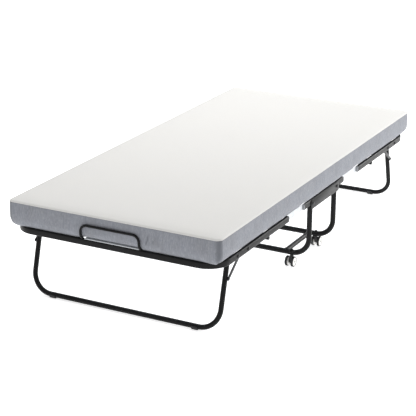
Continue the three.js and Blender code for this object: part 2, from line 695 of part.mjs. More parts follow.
// The body: a stem, a disc under the loop's bar and a web that holds the axle.
function casterBody() {
  const discTop = LOOP_BAR_HEIGHT - LOOP_DIAMETER / 2 - CLEARANCE;
  const axleZ = WHEEL_DIAMETER / 2;
  const discBottom = discTop - CASTER_DISC_HEIGHT;
  const stemTop = LOOP_BAR_HEIGHT - LOOP_DIAMETER / 10;
  const half = CASTER_BODY_WIDTH / 2;
  const profile = [
    [0, discBottom], [half, discBottom], [half, discTop],
    [CASTER_STEM_DIAMETER / 2, discTop], [CASTER_STEM_DIAMETER / 2, stemTop], [0, stemTop],
  ];
  const stem = new THREE.LatheGeometry(profile.map((p) => new THREE.Vector2(...p)), TUBE_SIDES);
  stem.rotateX(Math.PI / 2);
  const web = plate(barShape(
    new THREE.Vector2(0, discTop - CASTER_WEB_DROP),
    new THREE.Vector2(CASTER_TRAIL, axleZ), CASTER_WEB_DEPTH,
  ), -half, half);
  const gap = WHEEL_SPACING / 2 + WHEEL_WIDTH / 2;
  const axle = turned([
    [0, -gap], [AXLE_DIAMETER / 2, -gap], [AXLE_DIAMETER / 2, gap], [0, gap],
  ], 1, CASTER_TRAIL, axleZ);
  return join([stem, web, axle]);
}

// A wheel on the axle, with a raised tyre around a dished disc.
function casterWheel(side) {
  const bore = AXLE_DIAMETER / 2 + CLEARANCE;
  const radius = WHEEL_DIAMETER / 2;
  const inner = WHEEL_SPACING / 2 - WHEEL_WIDTH / 2;
  const outer = inner + WHEEL_WIDTH;
  const rim = radius - TYRE_CHAMFER;
  return turned([
    [bore, inner], [rim, inner], [radius, inner + TYRE_CHAMFER], [radius, outer - TYRE_CHAMFER],
    [rim, outer], [bore, outer], [bore, inner],
  ], side, CASTER_TRAIL, radius, WHEEL_SIDES);
}

function caster(end, label, side) {
  const group = new THREE.Group();
  group.rotation.z = end > 0 ? 0 : Math.PI;
  group.position.set(end * HINGE_X, side * CASTER_Y, 0);
  const hand = side > 0 ? 'left' : 'right';
  group.add(mesh(`caster_${label}_${hand}`, casterBody(), nylon));
  for (const face of sides) {
    const where = face * end * side > 0 ? 'outer' : 'inner';
    group.add(mesh(`wheel_${label}_${hand}_${where}`, casterWheel(face), rubber));
  }
  return group;
}

const bed = new THREE.Group();
bed.add(centreFrame());
for (const [end, label] of [[-1, 'head'], [1, 'foot']]) {
  bed.add(endDeck(end, label));
  bed.add(endLeg(end, label));
  for (const side of sides) bed.add(caster(end, label, side));
}

export default bed;
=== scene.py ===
"""Rollaway guest bed: a foam mattress on a black folding frame with casters.

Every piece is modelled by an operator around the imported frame, in metres, with
+X to the foot end, +Y to the bed's left and +Z up.
"""

import json
import math

import bmesh
import bpy
from bpy.props import FloatProperty, FloatVectorProperty, IntProperty, PointerProperty
from mathutils import Matrix, Vector, noise

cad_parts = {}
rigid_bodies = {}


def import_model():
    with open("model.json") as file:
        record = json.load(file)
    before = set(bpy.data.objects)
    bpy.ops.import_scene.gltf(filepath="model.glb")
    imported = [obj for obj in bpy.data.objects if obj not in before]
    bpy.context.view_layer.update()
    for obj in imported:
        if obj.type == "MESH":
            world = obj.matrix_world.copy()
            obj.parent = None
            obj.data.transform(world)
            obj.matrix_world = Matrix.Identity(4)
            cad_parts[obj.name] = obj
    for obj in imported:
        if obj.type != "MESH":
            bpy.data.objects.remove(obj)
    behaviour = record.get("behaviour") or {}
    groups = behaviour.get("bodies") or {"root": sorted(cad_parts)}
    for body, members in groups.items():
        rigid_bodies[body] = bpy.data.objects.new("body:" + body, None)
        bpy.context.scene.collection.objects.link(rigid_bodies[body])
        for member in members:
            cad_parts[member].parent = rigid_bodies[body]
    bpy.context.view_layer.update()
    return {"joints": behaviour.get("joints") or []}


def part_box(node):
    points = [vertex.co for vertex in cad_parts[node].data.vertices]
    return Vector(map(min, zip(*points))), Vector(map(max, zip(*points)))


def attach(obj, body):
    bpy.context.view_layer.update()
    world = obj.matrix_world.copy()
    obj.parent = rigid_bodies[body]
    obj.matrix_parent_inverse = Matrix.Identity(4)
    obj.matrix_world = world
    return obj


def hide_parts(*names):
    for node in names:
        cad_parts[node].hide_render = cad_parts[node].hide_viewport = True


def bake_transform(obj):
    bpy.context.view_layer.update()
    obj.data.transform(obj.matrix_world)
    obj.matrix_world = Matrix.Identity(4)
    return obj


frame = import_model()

bl_info = {
    "name": "Rollaway Bed",
    "version": (1, 0, 0),
    "blender": (4, 5, 0),
    "location": "View3D > Sidebar > Rollaway Bed",
    "description": "Models a folding guest bed with a foam mattress around its packed frame",
    "category": "Object",
}

MM = 0.001
CLEAR = 0.0003  # kept between pieces that only touch
WASHER = 0.7 * MM  # thickness under a dome head
NUT_LENGTH = 5 * MM
HOOP_FOOT_INSET = 5.5 * MM  # of the retainer's foot from the rail's outer face
HOOP_KNEE_RISE = 16 * MM
HOOP_SPARE = 12 * MM  # drawn below the rail's top, then trimmed off
LEG_DIAMETER = 20 * MM
LEG_PAST_PIVOT = 8 * MM
LEG_PLUG_HEIGHT = 1.2 * MM  # low enough to pass under the cloth as the leg folds
PAD_TREAD = 3 * MM  # rubber under the leg tube
PAD_RADIUS = 13.8 * MM
SADDLE_LIP = 3 * MM  # the rubber foot ends this far above the tube's middle
BORE_SPARE = 5 * MM
PLATE_CORNER = 14 * MM
STEM_CAP = (12 * MM, 4.5 * MM)  # diameter and height of the cap over a caster's stem
GUIDE_RIM = 4 * MM
STAY_EYE = 7 * MM  # from a stay's end to its pin
STUD_INSET = 9 * MM
STAY_GAP = 2.3 * MM
STAY_THICKNESS = 3 * MM
CASTER_COLLAR = 4.3 * MM
CASTER_WEB = (16 * MM, 12 * MM)  # width and thickness
TREAD_GAP = 0.1 * MM
HUB_BORE = 2.8 * MM
BORDER_BAND = 0.012  # how near a side a point counts as on it
TONGUE_REACH = 0.125
POCKET_RANGE = (0.19, 0.37)
SIDE_SINK, END_SINK = 4.2 * MM, 9.0 * MM  # of the lower panel's edge inside the rails
THREAD = 1.1 * MM
CLOTH_SIDE_INSET, CLOTH_END_INSET = 42 * MM, 25 * MM
POCKET_END = 0.352
POCKET_GAP = 3.5 * MM
POCKET_CLOTH = 1.2 * MM
TONGUE_MARGIN = 13 * MM
UP = Vector((0, 0, 1))
ACROSS = Vector((0, 1, 0))
ALONG = Vector((1, 0, 0))


def joint_place(name):
    """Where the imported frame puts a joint."""
    for joint in frame["joints"]:
        if joint["name"] == name:
            return Vector(joint["pos_m"])
    raise KeyError(name)


def box_of(node):
    """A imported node's lowest and highest corners."""
    return [Vector(corner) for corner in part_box(node)]


def middle(node):
    """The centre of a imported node's box."""
    low, high = box_of(node)
    return (low + high) / 2


# ---------------------------------------------------------------------------
# Sizes and colours that a user would change
# ---------------------------------------------------------------------------


def length(name, description, default):
    """A size in metres, shown in the scene's own unit."""
    return FloatProperty(
        name=name, description=description, default=default, min=0, unit="LENGTH", precision=4,
    )


class FrameSizes(bpy.types.PropertyGroup):
    """Sizes of the bed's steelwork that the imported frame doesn't give."""

    rail_wall: length("Rail width", "Width of the flat-sided rail tube", 0.015)
    rail_corner: length("Rail corner", "Corner round of the rail's section", 0.0045)
    rail_bend: length("Rail bend", "Bend radius of the rail's centre line", 0.084)
    leg_bend: length("Leg bend", "Bend radius of the leg's centre line", 0.08)
    loop_bend: length("Loop bend", "Bend radius of the caster loop's centre line", 0.072)
    retainer_bend: length("Retainer bend", "Bend radius of the retainer hoop", 0.027)
    retainer_rod: length("Retainer rod", "Diameter of the retainer hoop's rod", 0.0095)
    tube_sides: IntProperty(name="Tube sides", description="Faces round a tube", default=28, min=8)
    bend_steps: IntProperty(name="Bend steps", description="Steps in a bend", default=12, min=4)
    bolt_head: length("Bolt head", "Diameter of a dome head", 0.014)
    bolt_shank: length("Bolt shank", "Diameter of a bolt's shank", 0.008)
    guide_slot: length("Guide slot", "Width of the slot in a stay guide", 0.009)
    tyre_depth: length("Tyre depth", "Depth of the tyre round the wheel's hub", 0.0026)


class MattressSizes(bpy.types.PropertyGroup):
    """How the mattress's cover is cut and how it lies."""

    plan_corner: length("Plan corner", "Corner round seen from above", 0.022)
    bottom_round: length("Bottom round", "Round of the lower edge", 0.027)
    top_round: length("Top round", "Round of the upper edge", 0.006)
    wrap: length("Wrap", "How far the top panel comes down the side", 0.008)
    grid: length("Grid", "Mesh spacing over the cover", 0.03)
    hinge_grid: length("Hinge grid", "Mesh spacing where the mattress bends", 0.0158)
    bend_reach: length("Bend reach", "How far from the middle the mattress bends", 0.316)
    seam_place: FloatProperty(
        name="Seam place", description="Border seam's place across the head end",
        default=-0.2206, unit="LENGTH", precision=4,
    )


class FinishColours(bpy.types.PropertyGroup):
    """Base colours, in linear light."""

    powder_coat: FloatVectorProperty(
        name="Powder coat", description="Frame", subtype="COLOR", size=3, default=(0.004, 0.004, 0.0042),
    )
    border_knit: FloatVectorProperty(
        name="Border", description="Mattress border", subtype="COLOR", size=3,
        default=(0.245, 0.252, 0.275),
    )
    top_knit: FloatVectorProperty(
        name="Top", description="Mattress top", subtype="COLOR", size=3, default=(0.735, 0.728, 0.71),
    )


class StageSizes(bpy.types.PropertyGroup):
    """The camera and the studio."""

    camera_place: FloatVectorProperty(
        name="Camera place", description="Where the camera stands", size=3, unit="LENGTH",
        default=(-5.1208, -2.5692, 2.1865),
    )
    heading: FloatProperty(
        name="Heading", description="Camera's heading, from +X towards +Y",
        default=math.radians(27.473), subtype="ANGLE",
    )
    pitch: FloatProperty(
        name="Pitch", description="How far the camera looks down",
        default=math.radians(19.592), subtype="ANGLE",
    )
    roll: FloatProperty(
        name="Roll", description="Camera's roll", default=math.radians(0.395), subtype="ANGLE",
    )
    lens: FloatProperty(
        name="Lens", description="Focal length", default=124.23, subtype="DISTANCE_CAMERA",
    )
    sweep: length("Paper", "Side of the background paper", 60.0)


def sizes():
    return bpy.context.scene.bed_frame_sizes


def cover():
    return bpy.context.scene.bed_mattress_sizes


def colours():
    return bpy.context.scene.bed_finish_colours


def stage_sizes():
    return bpy.context.scene.bed_stage_sizes


# ---------------------------------------------------------------------------
# Working in Blender as by hand
# ---------------------------------------------------------------------------


def clear_selection():
    """Object mode with nothing selected and nothing active."""
    if bpy.context.object is not None and bpy.context.object.mode != "OBJECT":
        bpy.ops.object.mode_set(mode="OBJECT")
    for piece in bpy.context.view_layer.objects:
        piece.select_set(False)
    bpy.context.view_layer.objects.active = None


def make_active(piece):
    clear_selection()
    piece.select_set(True)
    bpy.context.view_layer.objects.active = piece


def primitive(kind, **settings):
    """Adds a primitive and puts its place into its mesh."""
    clear_selection()
    getattr(bpy.ops.mesh, f"primitive_{kind}_add")(**settings)
    bpy.ops.object.transform_apply(location=True, rotation=True, scale=True)
    return bpy.context.object


def edit(piece, kind="FACE"):
    make_active(piece)
    bpy.ops.object.mode_set(mode="EDIT")
    bpy.ops.mesh.select_mode(type=kind)


def pick(kind, test):
    """Selects the edited mesh's faces, edges or verts that pass the test, and no others."""
    mesh = bmesh.from_edit_mesh(bpy.context.edit_object.data)
    for items in (mesh.faces, mesh.edges, mesh.verts):
        for item in items:
            item.select_set(False)
    for item in [item for item in getattr(mesh, kind) if test(item)]:
        item.select_set(True)
    bmesh.update_edit_mesh(bpy.context.edit_object.data)


def select_everything():
    bpy.ops.mesh.select_all(action="SELECT")


def extrude_by(move):
    bpy.ops.mesh.extrude_region_move(TRANSFORM_OT_translate={"value": move})


def done():
    bpy.ops.object.mode_set(mode="OBJECT")


def close_up():
    """Merges doubles and points all faces outwards, then leaves edit mode."""
    select_everything()
    bpy.ops.mesh.remove_doubles(threshold=1e-6)
    bpy.ops.mesh.normals_make_consistent(inside=False)
    done()


def trim(piece, height, **cleared):
    """Cuts a piece level at a height and closes the cut."""
    edit(piece)
    select_everything()
    bpy.ops.mesh.bisect(plane_co=(0, 0, height), plane_no=(0, 0, 1), use_fill=True, **cleared)
    close_up()


def lay_out(piece):
    """Gives cloth its UV map, at one unit to the metre."""
    edit(piece)
    select_everything()
    bpy.ops.uv.cube_project(cube_size=1.0)
    done()


def modify(piece, kind, **settings):
    """Adds a modifier with its settings and applies it."""
    make_active(piece)
    bpy.ops.object.modifier_add(type=kind)
    modifier = piece.modifiers[-1]
    for key, value in settings.items():
        setattr(modifier, key, value)
    bpy.ops.object.modifier_apply(modifier=modifier.name)
    return piece


def soften(piece, width, segments=2, angle=math.radians(40)):
    """Breaks the sharp edges with a small bevel."""
    return modify(
        piece, "BEVEL", width=width, segments=segments, limit_method="ANGLE", angle_limit=angle,
        use_clamp_overlap=True,
    )


def assemble(first, *others):
    """One piece of several closed solids."""
    make_active(first)
    for other in others:
        other.select_set(True)
    bpy.ops.object.join()
    return first


def mirrored(piece, axis):
    """A copy of a piece on the other side of the bed."""
    make_active(piece)
    bpy.ops.object.duplicate()
    copy = bpy.context.object
    bpy.ops.transform.mirror(
        constraint_axis=tuple(axis_name == axis for axis_name in "XYZ"),
        orient_type="GLOBAL", center_override=(0, 0, 0),
    )
    bpy.ops.object.transform_apply(location=True, rotation=True, scale=True)
    edit(copy)
    select_everything()
    bpy.ops.mesh.normals_make_consistent(inside=False)
    done()
    return copy


def half_turned(piece):
    """A copy of a foot-end piece turned half a turn about the bed's upright middle line."""
    make_active(piece)
    bpy.ops.object.duplicate()
    copy = bpy.context.object
    copy.rotation_euler = (0, 0, math.pi)
    bpy.ops.object.transform_apply(location=True, rotation=True, scale=True)
    return copy


def finish(piece, name, material, body=None, nodes=(), angle=35):
    """Names, shades and paints a piece, and hangs it on its body."""
    make_active(piece)
    piece.name = name
    piece.data.name = name
    bpy.ops.object.shade_smooth_by_angle(angle=math.radians(angle))
    if not piece.data.materials:
        piece.data.materials.append(material)
    if body:
        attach(piece, body)
    if nodes:
        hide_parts(*nodes)
    return piece


def draw_along(corners, bend, steps):
    """Draws the selected face along straight runs and round bends, as a tube bender does."""
    here = corners[0]
    for before, corner, after in zip(corners, corners[1:], corners[2:]):
        incoming = (corner - before).normalized()
        outgoing = (after - corner).normalized()
        turn = incoming.angle(outgoing)
        tangent = bend * math.tan(turn / 2)
        start = corner - incoming * tangent
        extrude_by(start - here)
        axis = outgoing.cross(incoming).normalized()
        centre = start + incoming.cross(axis) * bend
        bpy.ops.mesh.spin(steps=steps, angle=turn, center=centre, axis=axis)
        here = corner + outgoing * tangent
    extrude_by(corners[-1] - here)


def facing(direction):
    """The rotation that points a primitive's Z along a direction."""
    return direction.to_track_quat("Z", "Y").to_euler()


def round_tube(corners, diameter, bend=0.0, steps=None):
    """A round tube with flat ends along a path of corners."""
    corners = [Vector(corner) for corner in corners]
    tube = primitive(
        "circle", vertices=sizes().tube_sides, radius=diameter / 2, fill_type="NGON",
        location=corners[0], rotation=facing(corners[1] - corners[0]),
    )
    edit(tube)
    select_everything()
    draw_along(corners, bend, steps or sizes().bend_steps)
    close_up()
    return tube


def placed(piece, scale=(1, 1, 1), turn=(0, 0, 0), place=(0, 0, 0)):
    """Scales, turns and moves a piece, and puts that into its mesh."""
    make_active(piece)
    piece.scale, piece.rotation_euler, piece.location = scale, turn, place
    bpy.ops.object.transform_apply(location=True, rotation=True, scale=True)
    return piece


def flat_tube(corners, width, height, corner, bend=0.0):
    """A flat-sided tube, its height along Z and its path level."""
    corners = [Vector(place) for place in corners]
    direction = (corners[1] - corners[0]).normalized()
    tube = placed(primitive("plane", size=1), scale=(height, width, 1), turn=(0, math.pi / 2, 0))
    placed(tube, turn=(0, 0, math.atan2(direction.y, direction.x)), place=corners[0])
    edit(tube)
    select_everything()
    bpy.ops.mesh.bevel(offset=corner, segments=4, affect="VERTICES")
    select_everything()
    draw_along(corners, bend, sizes().bend_steps)
    close_up()
    return tube


def flat_blank(long, wide, thickness, corner, segments=8):
    """A flat blank with rounded corners, its thickness along Y and its middle at the origin."""
    blank = placed(primitive("plane", size=1), scale=(long, wide, 1))
    edit(blank)
    select_everything()
    bpy.ops.mesh.bevel(offset=min(corner, wide * 0.4999), segments=segments, affect="VERTICES")
    select_everything()
    extrude_by((0, 0, thickness))
    close_up()
    placed(blank, place=(0, 0, -thickness / 2))
    return placed(blank, turn=(math.pi / 2, 0, 0))


def flat_bar(start, end, width, thickness, ease=0.0006):
    """A flat bar with round ends between two pins, its thickness along Y."""
    start, end = Vector(start), Vector(end)
    run = end - start
    bar = flat_blank(run.length + width, width, thickness, width / 2)
    placed(bar, turn=(0, -math.atan2(run.z, run.x), 0), place=(start + end) / 2)
    return soften(bar, ease)


def rod(start, end, diameter, sides=28, ease=0.0):
    """A plain round bar, its ends eased where they show."""
    start, end = Vector(start), Vector(end)
    bar = primitive(
        "cylinder", vertices=sides, radius=diameter / 2, depth=(end - start).length,
        location=(start + end) / 2, rotation=facing(end - start),
    )
    return soften(bar, ease) if ease else bar


def cut_away(piece, *tools):
    """Cuts solids out of a piece."""
    for tool in tools:
        modify(piece, "BOOLEAN", operation="DIFFERENCE", object=tool, solver="EXACT")
        bpy.data.objects.remove(tool, do_unlink=True)
    return piece


def dome_head(place, outwards, diameter, height):
    """A low domed head whose flat side lies at its place."""
    head = primitive(
        "cylinder", vertices=28, radius=diameter / 2, depth=height,
        location=Vector(place) + outwards * height / 2, rotation=facing(outwards),
    )
    top = Vector(place) + outwards * height
    edit(head, "EDGE")
    pick("edges", lambda e: all((v.co - top).dot(outwards) > -MM / 10 for v in e.verts))
    bpy.ops.mesh.bevel(offset=height * 0.85, segments=5, profile=0.6, affect="EDGES")
    close_up()
    return head


def hexagon_nut(place, outwards, width, height):
    """A hexagon nut standing on its place, with its corners eased."""
    nut = primitive(
        "cylinder", vertices=6, radius=width / 2, depth=height,
        location=Vector(place) + outwards * height / 2, rotation=facing(outwards),
    )
    return soften(nut, 0.0007, segments=3, angle=math.radians(20))


def weld_bead(centre, direction, tube_diameter, bead=0.0016):
    """A small weld fillet where one tube's end meets another."""
    return primitive(
        "torus", major_segments=28, minor_segments=8, major_radius=tube_diameter / 2,
        minor_radius=bead, location=centre, rotation=facing(direction),
    )


# ---------------------------------------------------------------------------
# Materials
# ---------------------------------------------------------------------------


def linear(hex_colour):
    """An sRGB hex colour in linear light."""
    parts = [int(hex_colour[i:i + 2], 16) / 255 for i in (1, 3, 5)]
    return tuple(c / 12.92 if c <= 0.04045 else ((c + 0.055) / 1.055) ** 2.4 for c in parts) + (1.0,)


def add_node(tree, kind, settings=None, inputs=None):
    """Adds a node; an input is a value, or the socket that feeds it."""
    node = tree.nodes.new(kind)
    for key, value in (settings or {}).items():
        setattr(node, key, value)
    for key, value in (inputs or {}).items():
        if isinstance(value, bpy.types.NodeSocket):
            tree.links.new(value, node.inputs[key])
        else:
            node.inputs[key].default_value = value
    return node


def new_material(name, inputs=None):
    """A material with one shader; returns it with its tree and shader."""
    material = bpy.data.materials.new(name)
    material.use_nodes = True
    tree = material.node_tree
    tree.nodes.clear()
    shader = add_node(tree, "ShaderNodeBsdfPrincipled", None, inputs)
    add_node(tree, "ShaderNodeOutputMaterial", None, {"Surface": shader.outputs["BSDF"]})
    return material, tree, shader


def grained(name, dark, light, grain_mm, rough, relief_mm, cloud=None, **inputs):
    """A hard finish: two tones in a grain of a real size, which also sets its gloss and relief.

    cloud is a paler tone and how much of it lies in handling marks a hand wide.
    """
    material, tree, shader = new_material(name, {key.replace("_", " "): v for key, v in inputs.items()})
    place = add_node(tree, "ShaderNodeTexCoord").outputs["Object"]
    grain = add_node(
        tree, "ShaderNodeTexNoise", None,
        {"Vector": place, "Scale": 1000 / grain_mm, "Detail": 2.0, "Roughness": 0.55},
    ).outputs["Fac"]
    tone = add_node(
        tree, "ShaderNodeMix", {"data_type": "RGBA"}, {0: grain, 6: dark, 7: light},
    ).outputs[2]
    if cloud:
        marks = add_node(
            tree, "ShaderNodeTexNoise", None,
            {"Vector": place, "Scale": 1000 / 90, "Detail": 3.0, "Roughness": 0.6},
        ).outputs["Fac"]
        share = add_node(
            tree, "ShaderNodeMapRange", None,
            {"Value": marks, "From Min": 0.4, "From Max": 0.72, "To Min": 0.0, "To Max": cloud[1]},
        ).outputs["Result"]
        tone = add_node(
            tree, "ShaderNodeMix", {"data_type": "RGBA"}, {0: share, 6: tone, 7: cloud[0]},
        ).outputs[2]
    gloss = add_node(
        tree, "ShaderNodeMapRange", None,
        {"Value": grain, "From Min": 0.3, "From Max": 0.7, "To Min": rough[0], "To Max": rough[1]},
    ).outputs["Result"]
    relief = add_node(
        tree, "ShaderNodeBump", None, {"Height": grain, "Distance": relief_mm * MM, "Strength": 1.0},
    ).outputs["Normal"]
    tree.links.new(tone, shader.inputs["Base Color"])
    tree.links.new(gloss, shader.inputs["Roughness"])
    tree.links.new(relief, shader.inputs["Normal"])
    return material


def satin_powder_coat():
    """Sprayed polyester powder: a fine orange peel that spreads the highlight along a tube."""
    return grained(
        "satin_black_powder_coat", (*colours().powder_coat, 1.0), linear("#141415"), 1.6,
        (0.28, 0.42), 0.05, cloud=(linear("#242426"), 0.35), IOR=1.5, Specular_IOR_Level=0.15,
    )


def black_zinc():
    """Zinc-plated steel with a black passivate: darker and shinier than the paint beside it."""
    return grained(
        "black_zinc_plated_steel", linear("#0e0e10"), linear("#1e1e22"), 0.9, (0.26, 0.42), 0.02,
        Metallic=0.6,
    )


def moulded_rubber():
    """Moulded rubber: nearly black, dry and faintly pebbled, so it shows no highlight."""
    return grained("moulded_black_rubber", linear("#141415"), linear("#262627"), 1.3, (0.62, 0.85), 0.08)


def moulded_nylon():
    """Spark-textured black nylon: a dull even skin, as caster yokes and tube plugs have."""
    return grained("moulded_black_nylon", linear("#1d1d1f"), linear("#303032"), 0.8, (0.42, 0.6), 0.04)


def grey_plug_and_highlight():
    """Grey polyethylene tube plug: its pale grey is partly the plug's own colour and partly a painted
    highlight at the black tube's end.
    """
    return grained(
        "moulded_grey_polyethylene", linear("#8d8f93"), linear("#a4a6aa"), 1.2, (0.45, 0.6), 0.05,
    )


def white_polypropylene():
    """Glossy moulded polypropylene: milky white, so the wheel's hub reads as a bright disc."""
    return grained(
        "moulded_white_polypropylene", linear("#efeeea"), linear("#fbfaf8"), 5.0, (0.28, 0.4), 0.02,
        Subsurface_Weight=0.05, Subsurface_Radius=(0.004, 0.004, 0.0035),
    )


def sewing_thread():
    """Bonded polyester thread: its ply breaks the seam's line into stitches."""
    return grained("grey_polyester_thread", linear("#8f9299"), linear("#b4b6bc"), 2.0, (0.55, 0.7), 0.1)


def studio_paper():
    """Seamless white background paper: matt, with a faint fibre."""
    return grained(
        "white_studio_paper", linear("#fafafa"), linear("#ffffff"), 4.0, (0.92, 0.98), 0.01,
        Specular_IOR_Level=0.1, Emission_Color=(1.0, 1.0, 1.0, 1.0), Emission_Strength=0.62,
    )


def knitted(name, pitch_mm, tones, mottle_mm, relief_mm, streak=(), nap=None, **inputs):
    """A knit on the cover's own UV map, which is laid out at one unit to the metre.

    pitch_mm is the wale and course spacing, and streak gives the length against the width, in
    millimetres, and the tones of yarns that run up the cloth. The corner tone, when given, is a
    painted shade on the border's rounded upright corners, as far as the mesh's attribute says.
    """
    material, tree, shader = new_material(name, {key.replace("_", " "): v for key, v in inputs.items()})
    place = add_node(tree, "ShaderNodeTexCoord").outputs["UV"]
    loops = []
    for direction, pitch in zip("XY", pitch_mm):
        loops.append(add_node(
            tree, "ShaderNodeTexWave",
            {"wave_type": "BANDS", "bands_direction": direction, "wave_profile": "SIN"},
            {"Vector": place, "Scale": 100 * math.pi / pitch, "Distortion": 0.8, "Detail": 1.0,
             "Detail Scale": 2.0},
        ).outputs["Fac"])
    loop = add_node(
        tree, "ShaderNodeMath", {"operation": "MULTIPLY"}, {0: loops[0], 1: loops[1]},
    ).outputs[0]
    marks = add_node(
        tree, "ShaderNodeTexNoise", None,
        {"Vector": place, "Scale": 1000 / mottle_mm, "Detail": 3.0, "Roughness": 0.55},
    ).outputs["Fac"]
    share = add_node(
        tree, "ShaderNodeMapRange", None,
        {"Value": marks, "From Min": 0.35, "From Max": 0.68, "To Min": 0.0, "To Max": 1.0},
    ).outputs["Result"]
    tone = add_node(
        tree, "ShaderNodeMix", {"data_type": "RGBA"}, {0: share, 6: tones[0], 7: tones[1]},
    ).outputs[2]
    for width, long, low, high, colour in streak:
        shape = add_node(
            tree, "ShaderNodeMapping", {"vector_type": "POINT"},
            {"Vector": place, "Scale": (1000 / width, 1000 / long, 1.0)},
        ).outputs["Vector"]
        yarn = add_node(
            tree, "ShaderNodeTexNoise", None,
            {"Vector": shape, "Scale": 1.0, "Detail": 3.0, "Roughness": 0.6},
        ).outputs["Fac"]
        share = add_node(
            tree, "ShaderNodeMapRange", None,
            {"Value": yarn, "From Min": low, "From Max": high, "To Min": 0.0, "To Max": 0.7},
        ).outputs["Result"]
        tone = add_node(
            tree, "ShaderNodeMix", {"data_type": "RGBA"}, {0: share, 6: tone, 7: colour},
        ).outputs[2]
    # Painted shade: the border is darkened on its rounded upright corners, as far as the mesh's
    # attribute says.
    if nap:
        corner_shade_share = add_node(
            tree, "ShaderNodeAttribute", {"attribute_name": "nap", "attribute_type": "GEOMETRY"},
        ).outputs["Fac"]
        tone = add_node(
            tree, "ShaderNodeMix", {"data_type": "RGBA"}, {0: corner_shade_share, 6: tone, 7: nap},
        ).outputs[2]
    # Painted shade: the knit is darkened a little towards its third tone in the gaps between its loops.
    gap = add_node(
        tree, "ShaderNodeMapRange", None,
        {"Value": loop, "From Min": 0.0, "From Max": 0.35, "To Min": 0.22, "To Max": 0.0},
    ).outputs["Result"]
    tone = add_node(
        tree, "ShaderNodeMix", {"data_type": "RGBA"}, {0: gap, 6: tone, 7: tones[2]},
    ).outputs[2]
    relief = add_node(
        tree, "ShaderNodeBump", None, {"Height": loop, "Distance": relief_mm * MM, "Strength": 1.0},
    ).outputs["Normal"]
    tree.links.new(tone, shader.inputs["Base Color"])
    tree.links.new(relief, shader.inputs["Normal"])
    return material


def white_stretch_knit():
    """Circular-knit polyester over foam: soft and matt with a faint sheen towards its edges."""
    # Real wales are 0.8 mm apart; they are drawn at 2.4 mm so that they still show.
    return knitted(
        "white_stretch_knit", (2.4, 2.8),
        # The third tone is a painted shade for the gaps between the loops.
        ((*colours().top_knit, 1.0), linear("#dfdedb"), linear("#d2d1ce")), 160.0, 0.25,
        Roughness=0.92, Sheen_Weight=0.12, Sheen_Roughness=0.45,
    )


def heather_border_knit():
    """Blue-grey heather knit: pale and dark yarns run up the border in short broken streaks."""
    # The yarns are 0.6 mm thick; they are drawn 3 to 5 mm wide so that they still show.
    return knitted(
        "heather_grey_border_knit", (2.6, 3.0),
        # The third tone is a painted shade for the gaps between the loops.
        ((*colours().border_knit, 1.0), linear("#8f929a"), linear("#6c6f77")), 70.0, 0.35,
        streak=(
            (3.4, 20.0, 0.47, 0.70, linear("#a7aab2")),
            (2.8, 9.0, 0.52, 0.72, linear("#70747c")),
            (8.0, 70.0, 0.50, 0.74, linear("#777a82")),
        ),
        # Painted shade: the darker tone laid on the border's rounded upright corners.
        nap=linear("#5f6268"), Roughness=0.95, Sheen_Weight=0.18, Sheen_Roughness=0.5,
    )


def woven_polypropylene():
    """Flat polypropylene tape in a plain weave: crisp, slightly shiny and a little translucent."""
    # The tapes are 2.5 mm wide; they are drawn at 4 mm so that the weave shows.
    return knitted(
        "woven_white_polypropylene", (4.0, 4.0),
        # The third tone is a painted shade for the gaps between the weave's tapes.
        (linear("#dcdfe3"), linear("#eceef1"), linear("#bcc1c6")), 50.0, 0.35,
        Roughness=0.55, Subsurface_Weight=0.08, Subsurface_Radius=(0.003, 0.003, 0.003),
    )


MATERIALS = {}


def paint(maker):
    """The material that a function makes, made once."""
    if maker not in MATERIALS:
        MATERIALS[maker] = maker()
    return MATERIALS[maker]


# ---------------------------------------------------------------------------
# Copies over the bed
# ---------------------------------------------------------------------------


def both_ends(piece):
    """A foot-end piece and its copy at the head end."""
    return {"foot": piece, "head": half_turned(piece)}


def four_corners(piece):
    """A piece of the foot end's left side and its copies at the bed's other three corners."""
    right = mirrored(piece, "Y")
    return {
        ("foot", "left"): piece, ("foot", "right"): right,
        ("head", "right"): half_turned(piece), ("head", "left"): half_turned(right),
    }


def both_hands(piece):
    """A piece of the bed's left side and its copy on the right."""
    return {("", "left"): piece, ("", "right"): mirrored(piece, "Y")}


def spread(copies, name, maker, body, node=None):
    """Finishes a piece's copies; {end} and {hand} in the words say where each one is."""
    for place, piece in copies.items():
        end, hand = place if isinstance(place, tuple) else (place, "")
        said = [word and word.format(end=end, hand=hand) for word in (name, body, node)]
        finish(piece, said[0], paint(maker), said[1], said[2:] if node else ())


# ---------------------------------------------------------------------------
# Stage
# ---------------------------------------------------------------------------


def soft_box(name, place, aim, size, power):
    """An area light that points at a place."""
    clear_selection()
    bpy.ops.object.light_add(type="AREA", location=place)
    lamp = bpy.context.object
    lamp.name = name
    lamp.rotation_euler = (Vector(aim) - Vector(place)).to_track_quat("-Z", "Y").to_euler()
    lamp.data.shape = "SQUARE"
    lamp.data.size = size
    lamp.data.energy = power


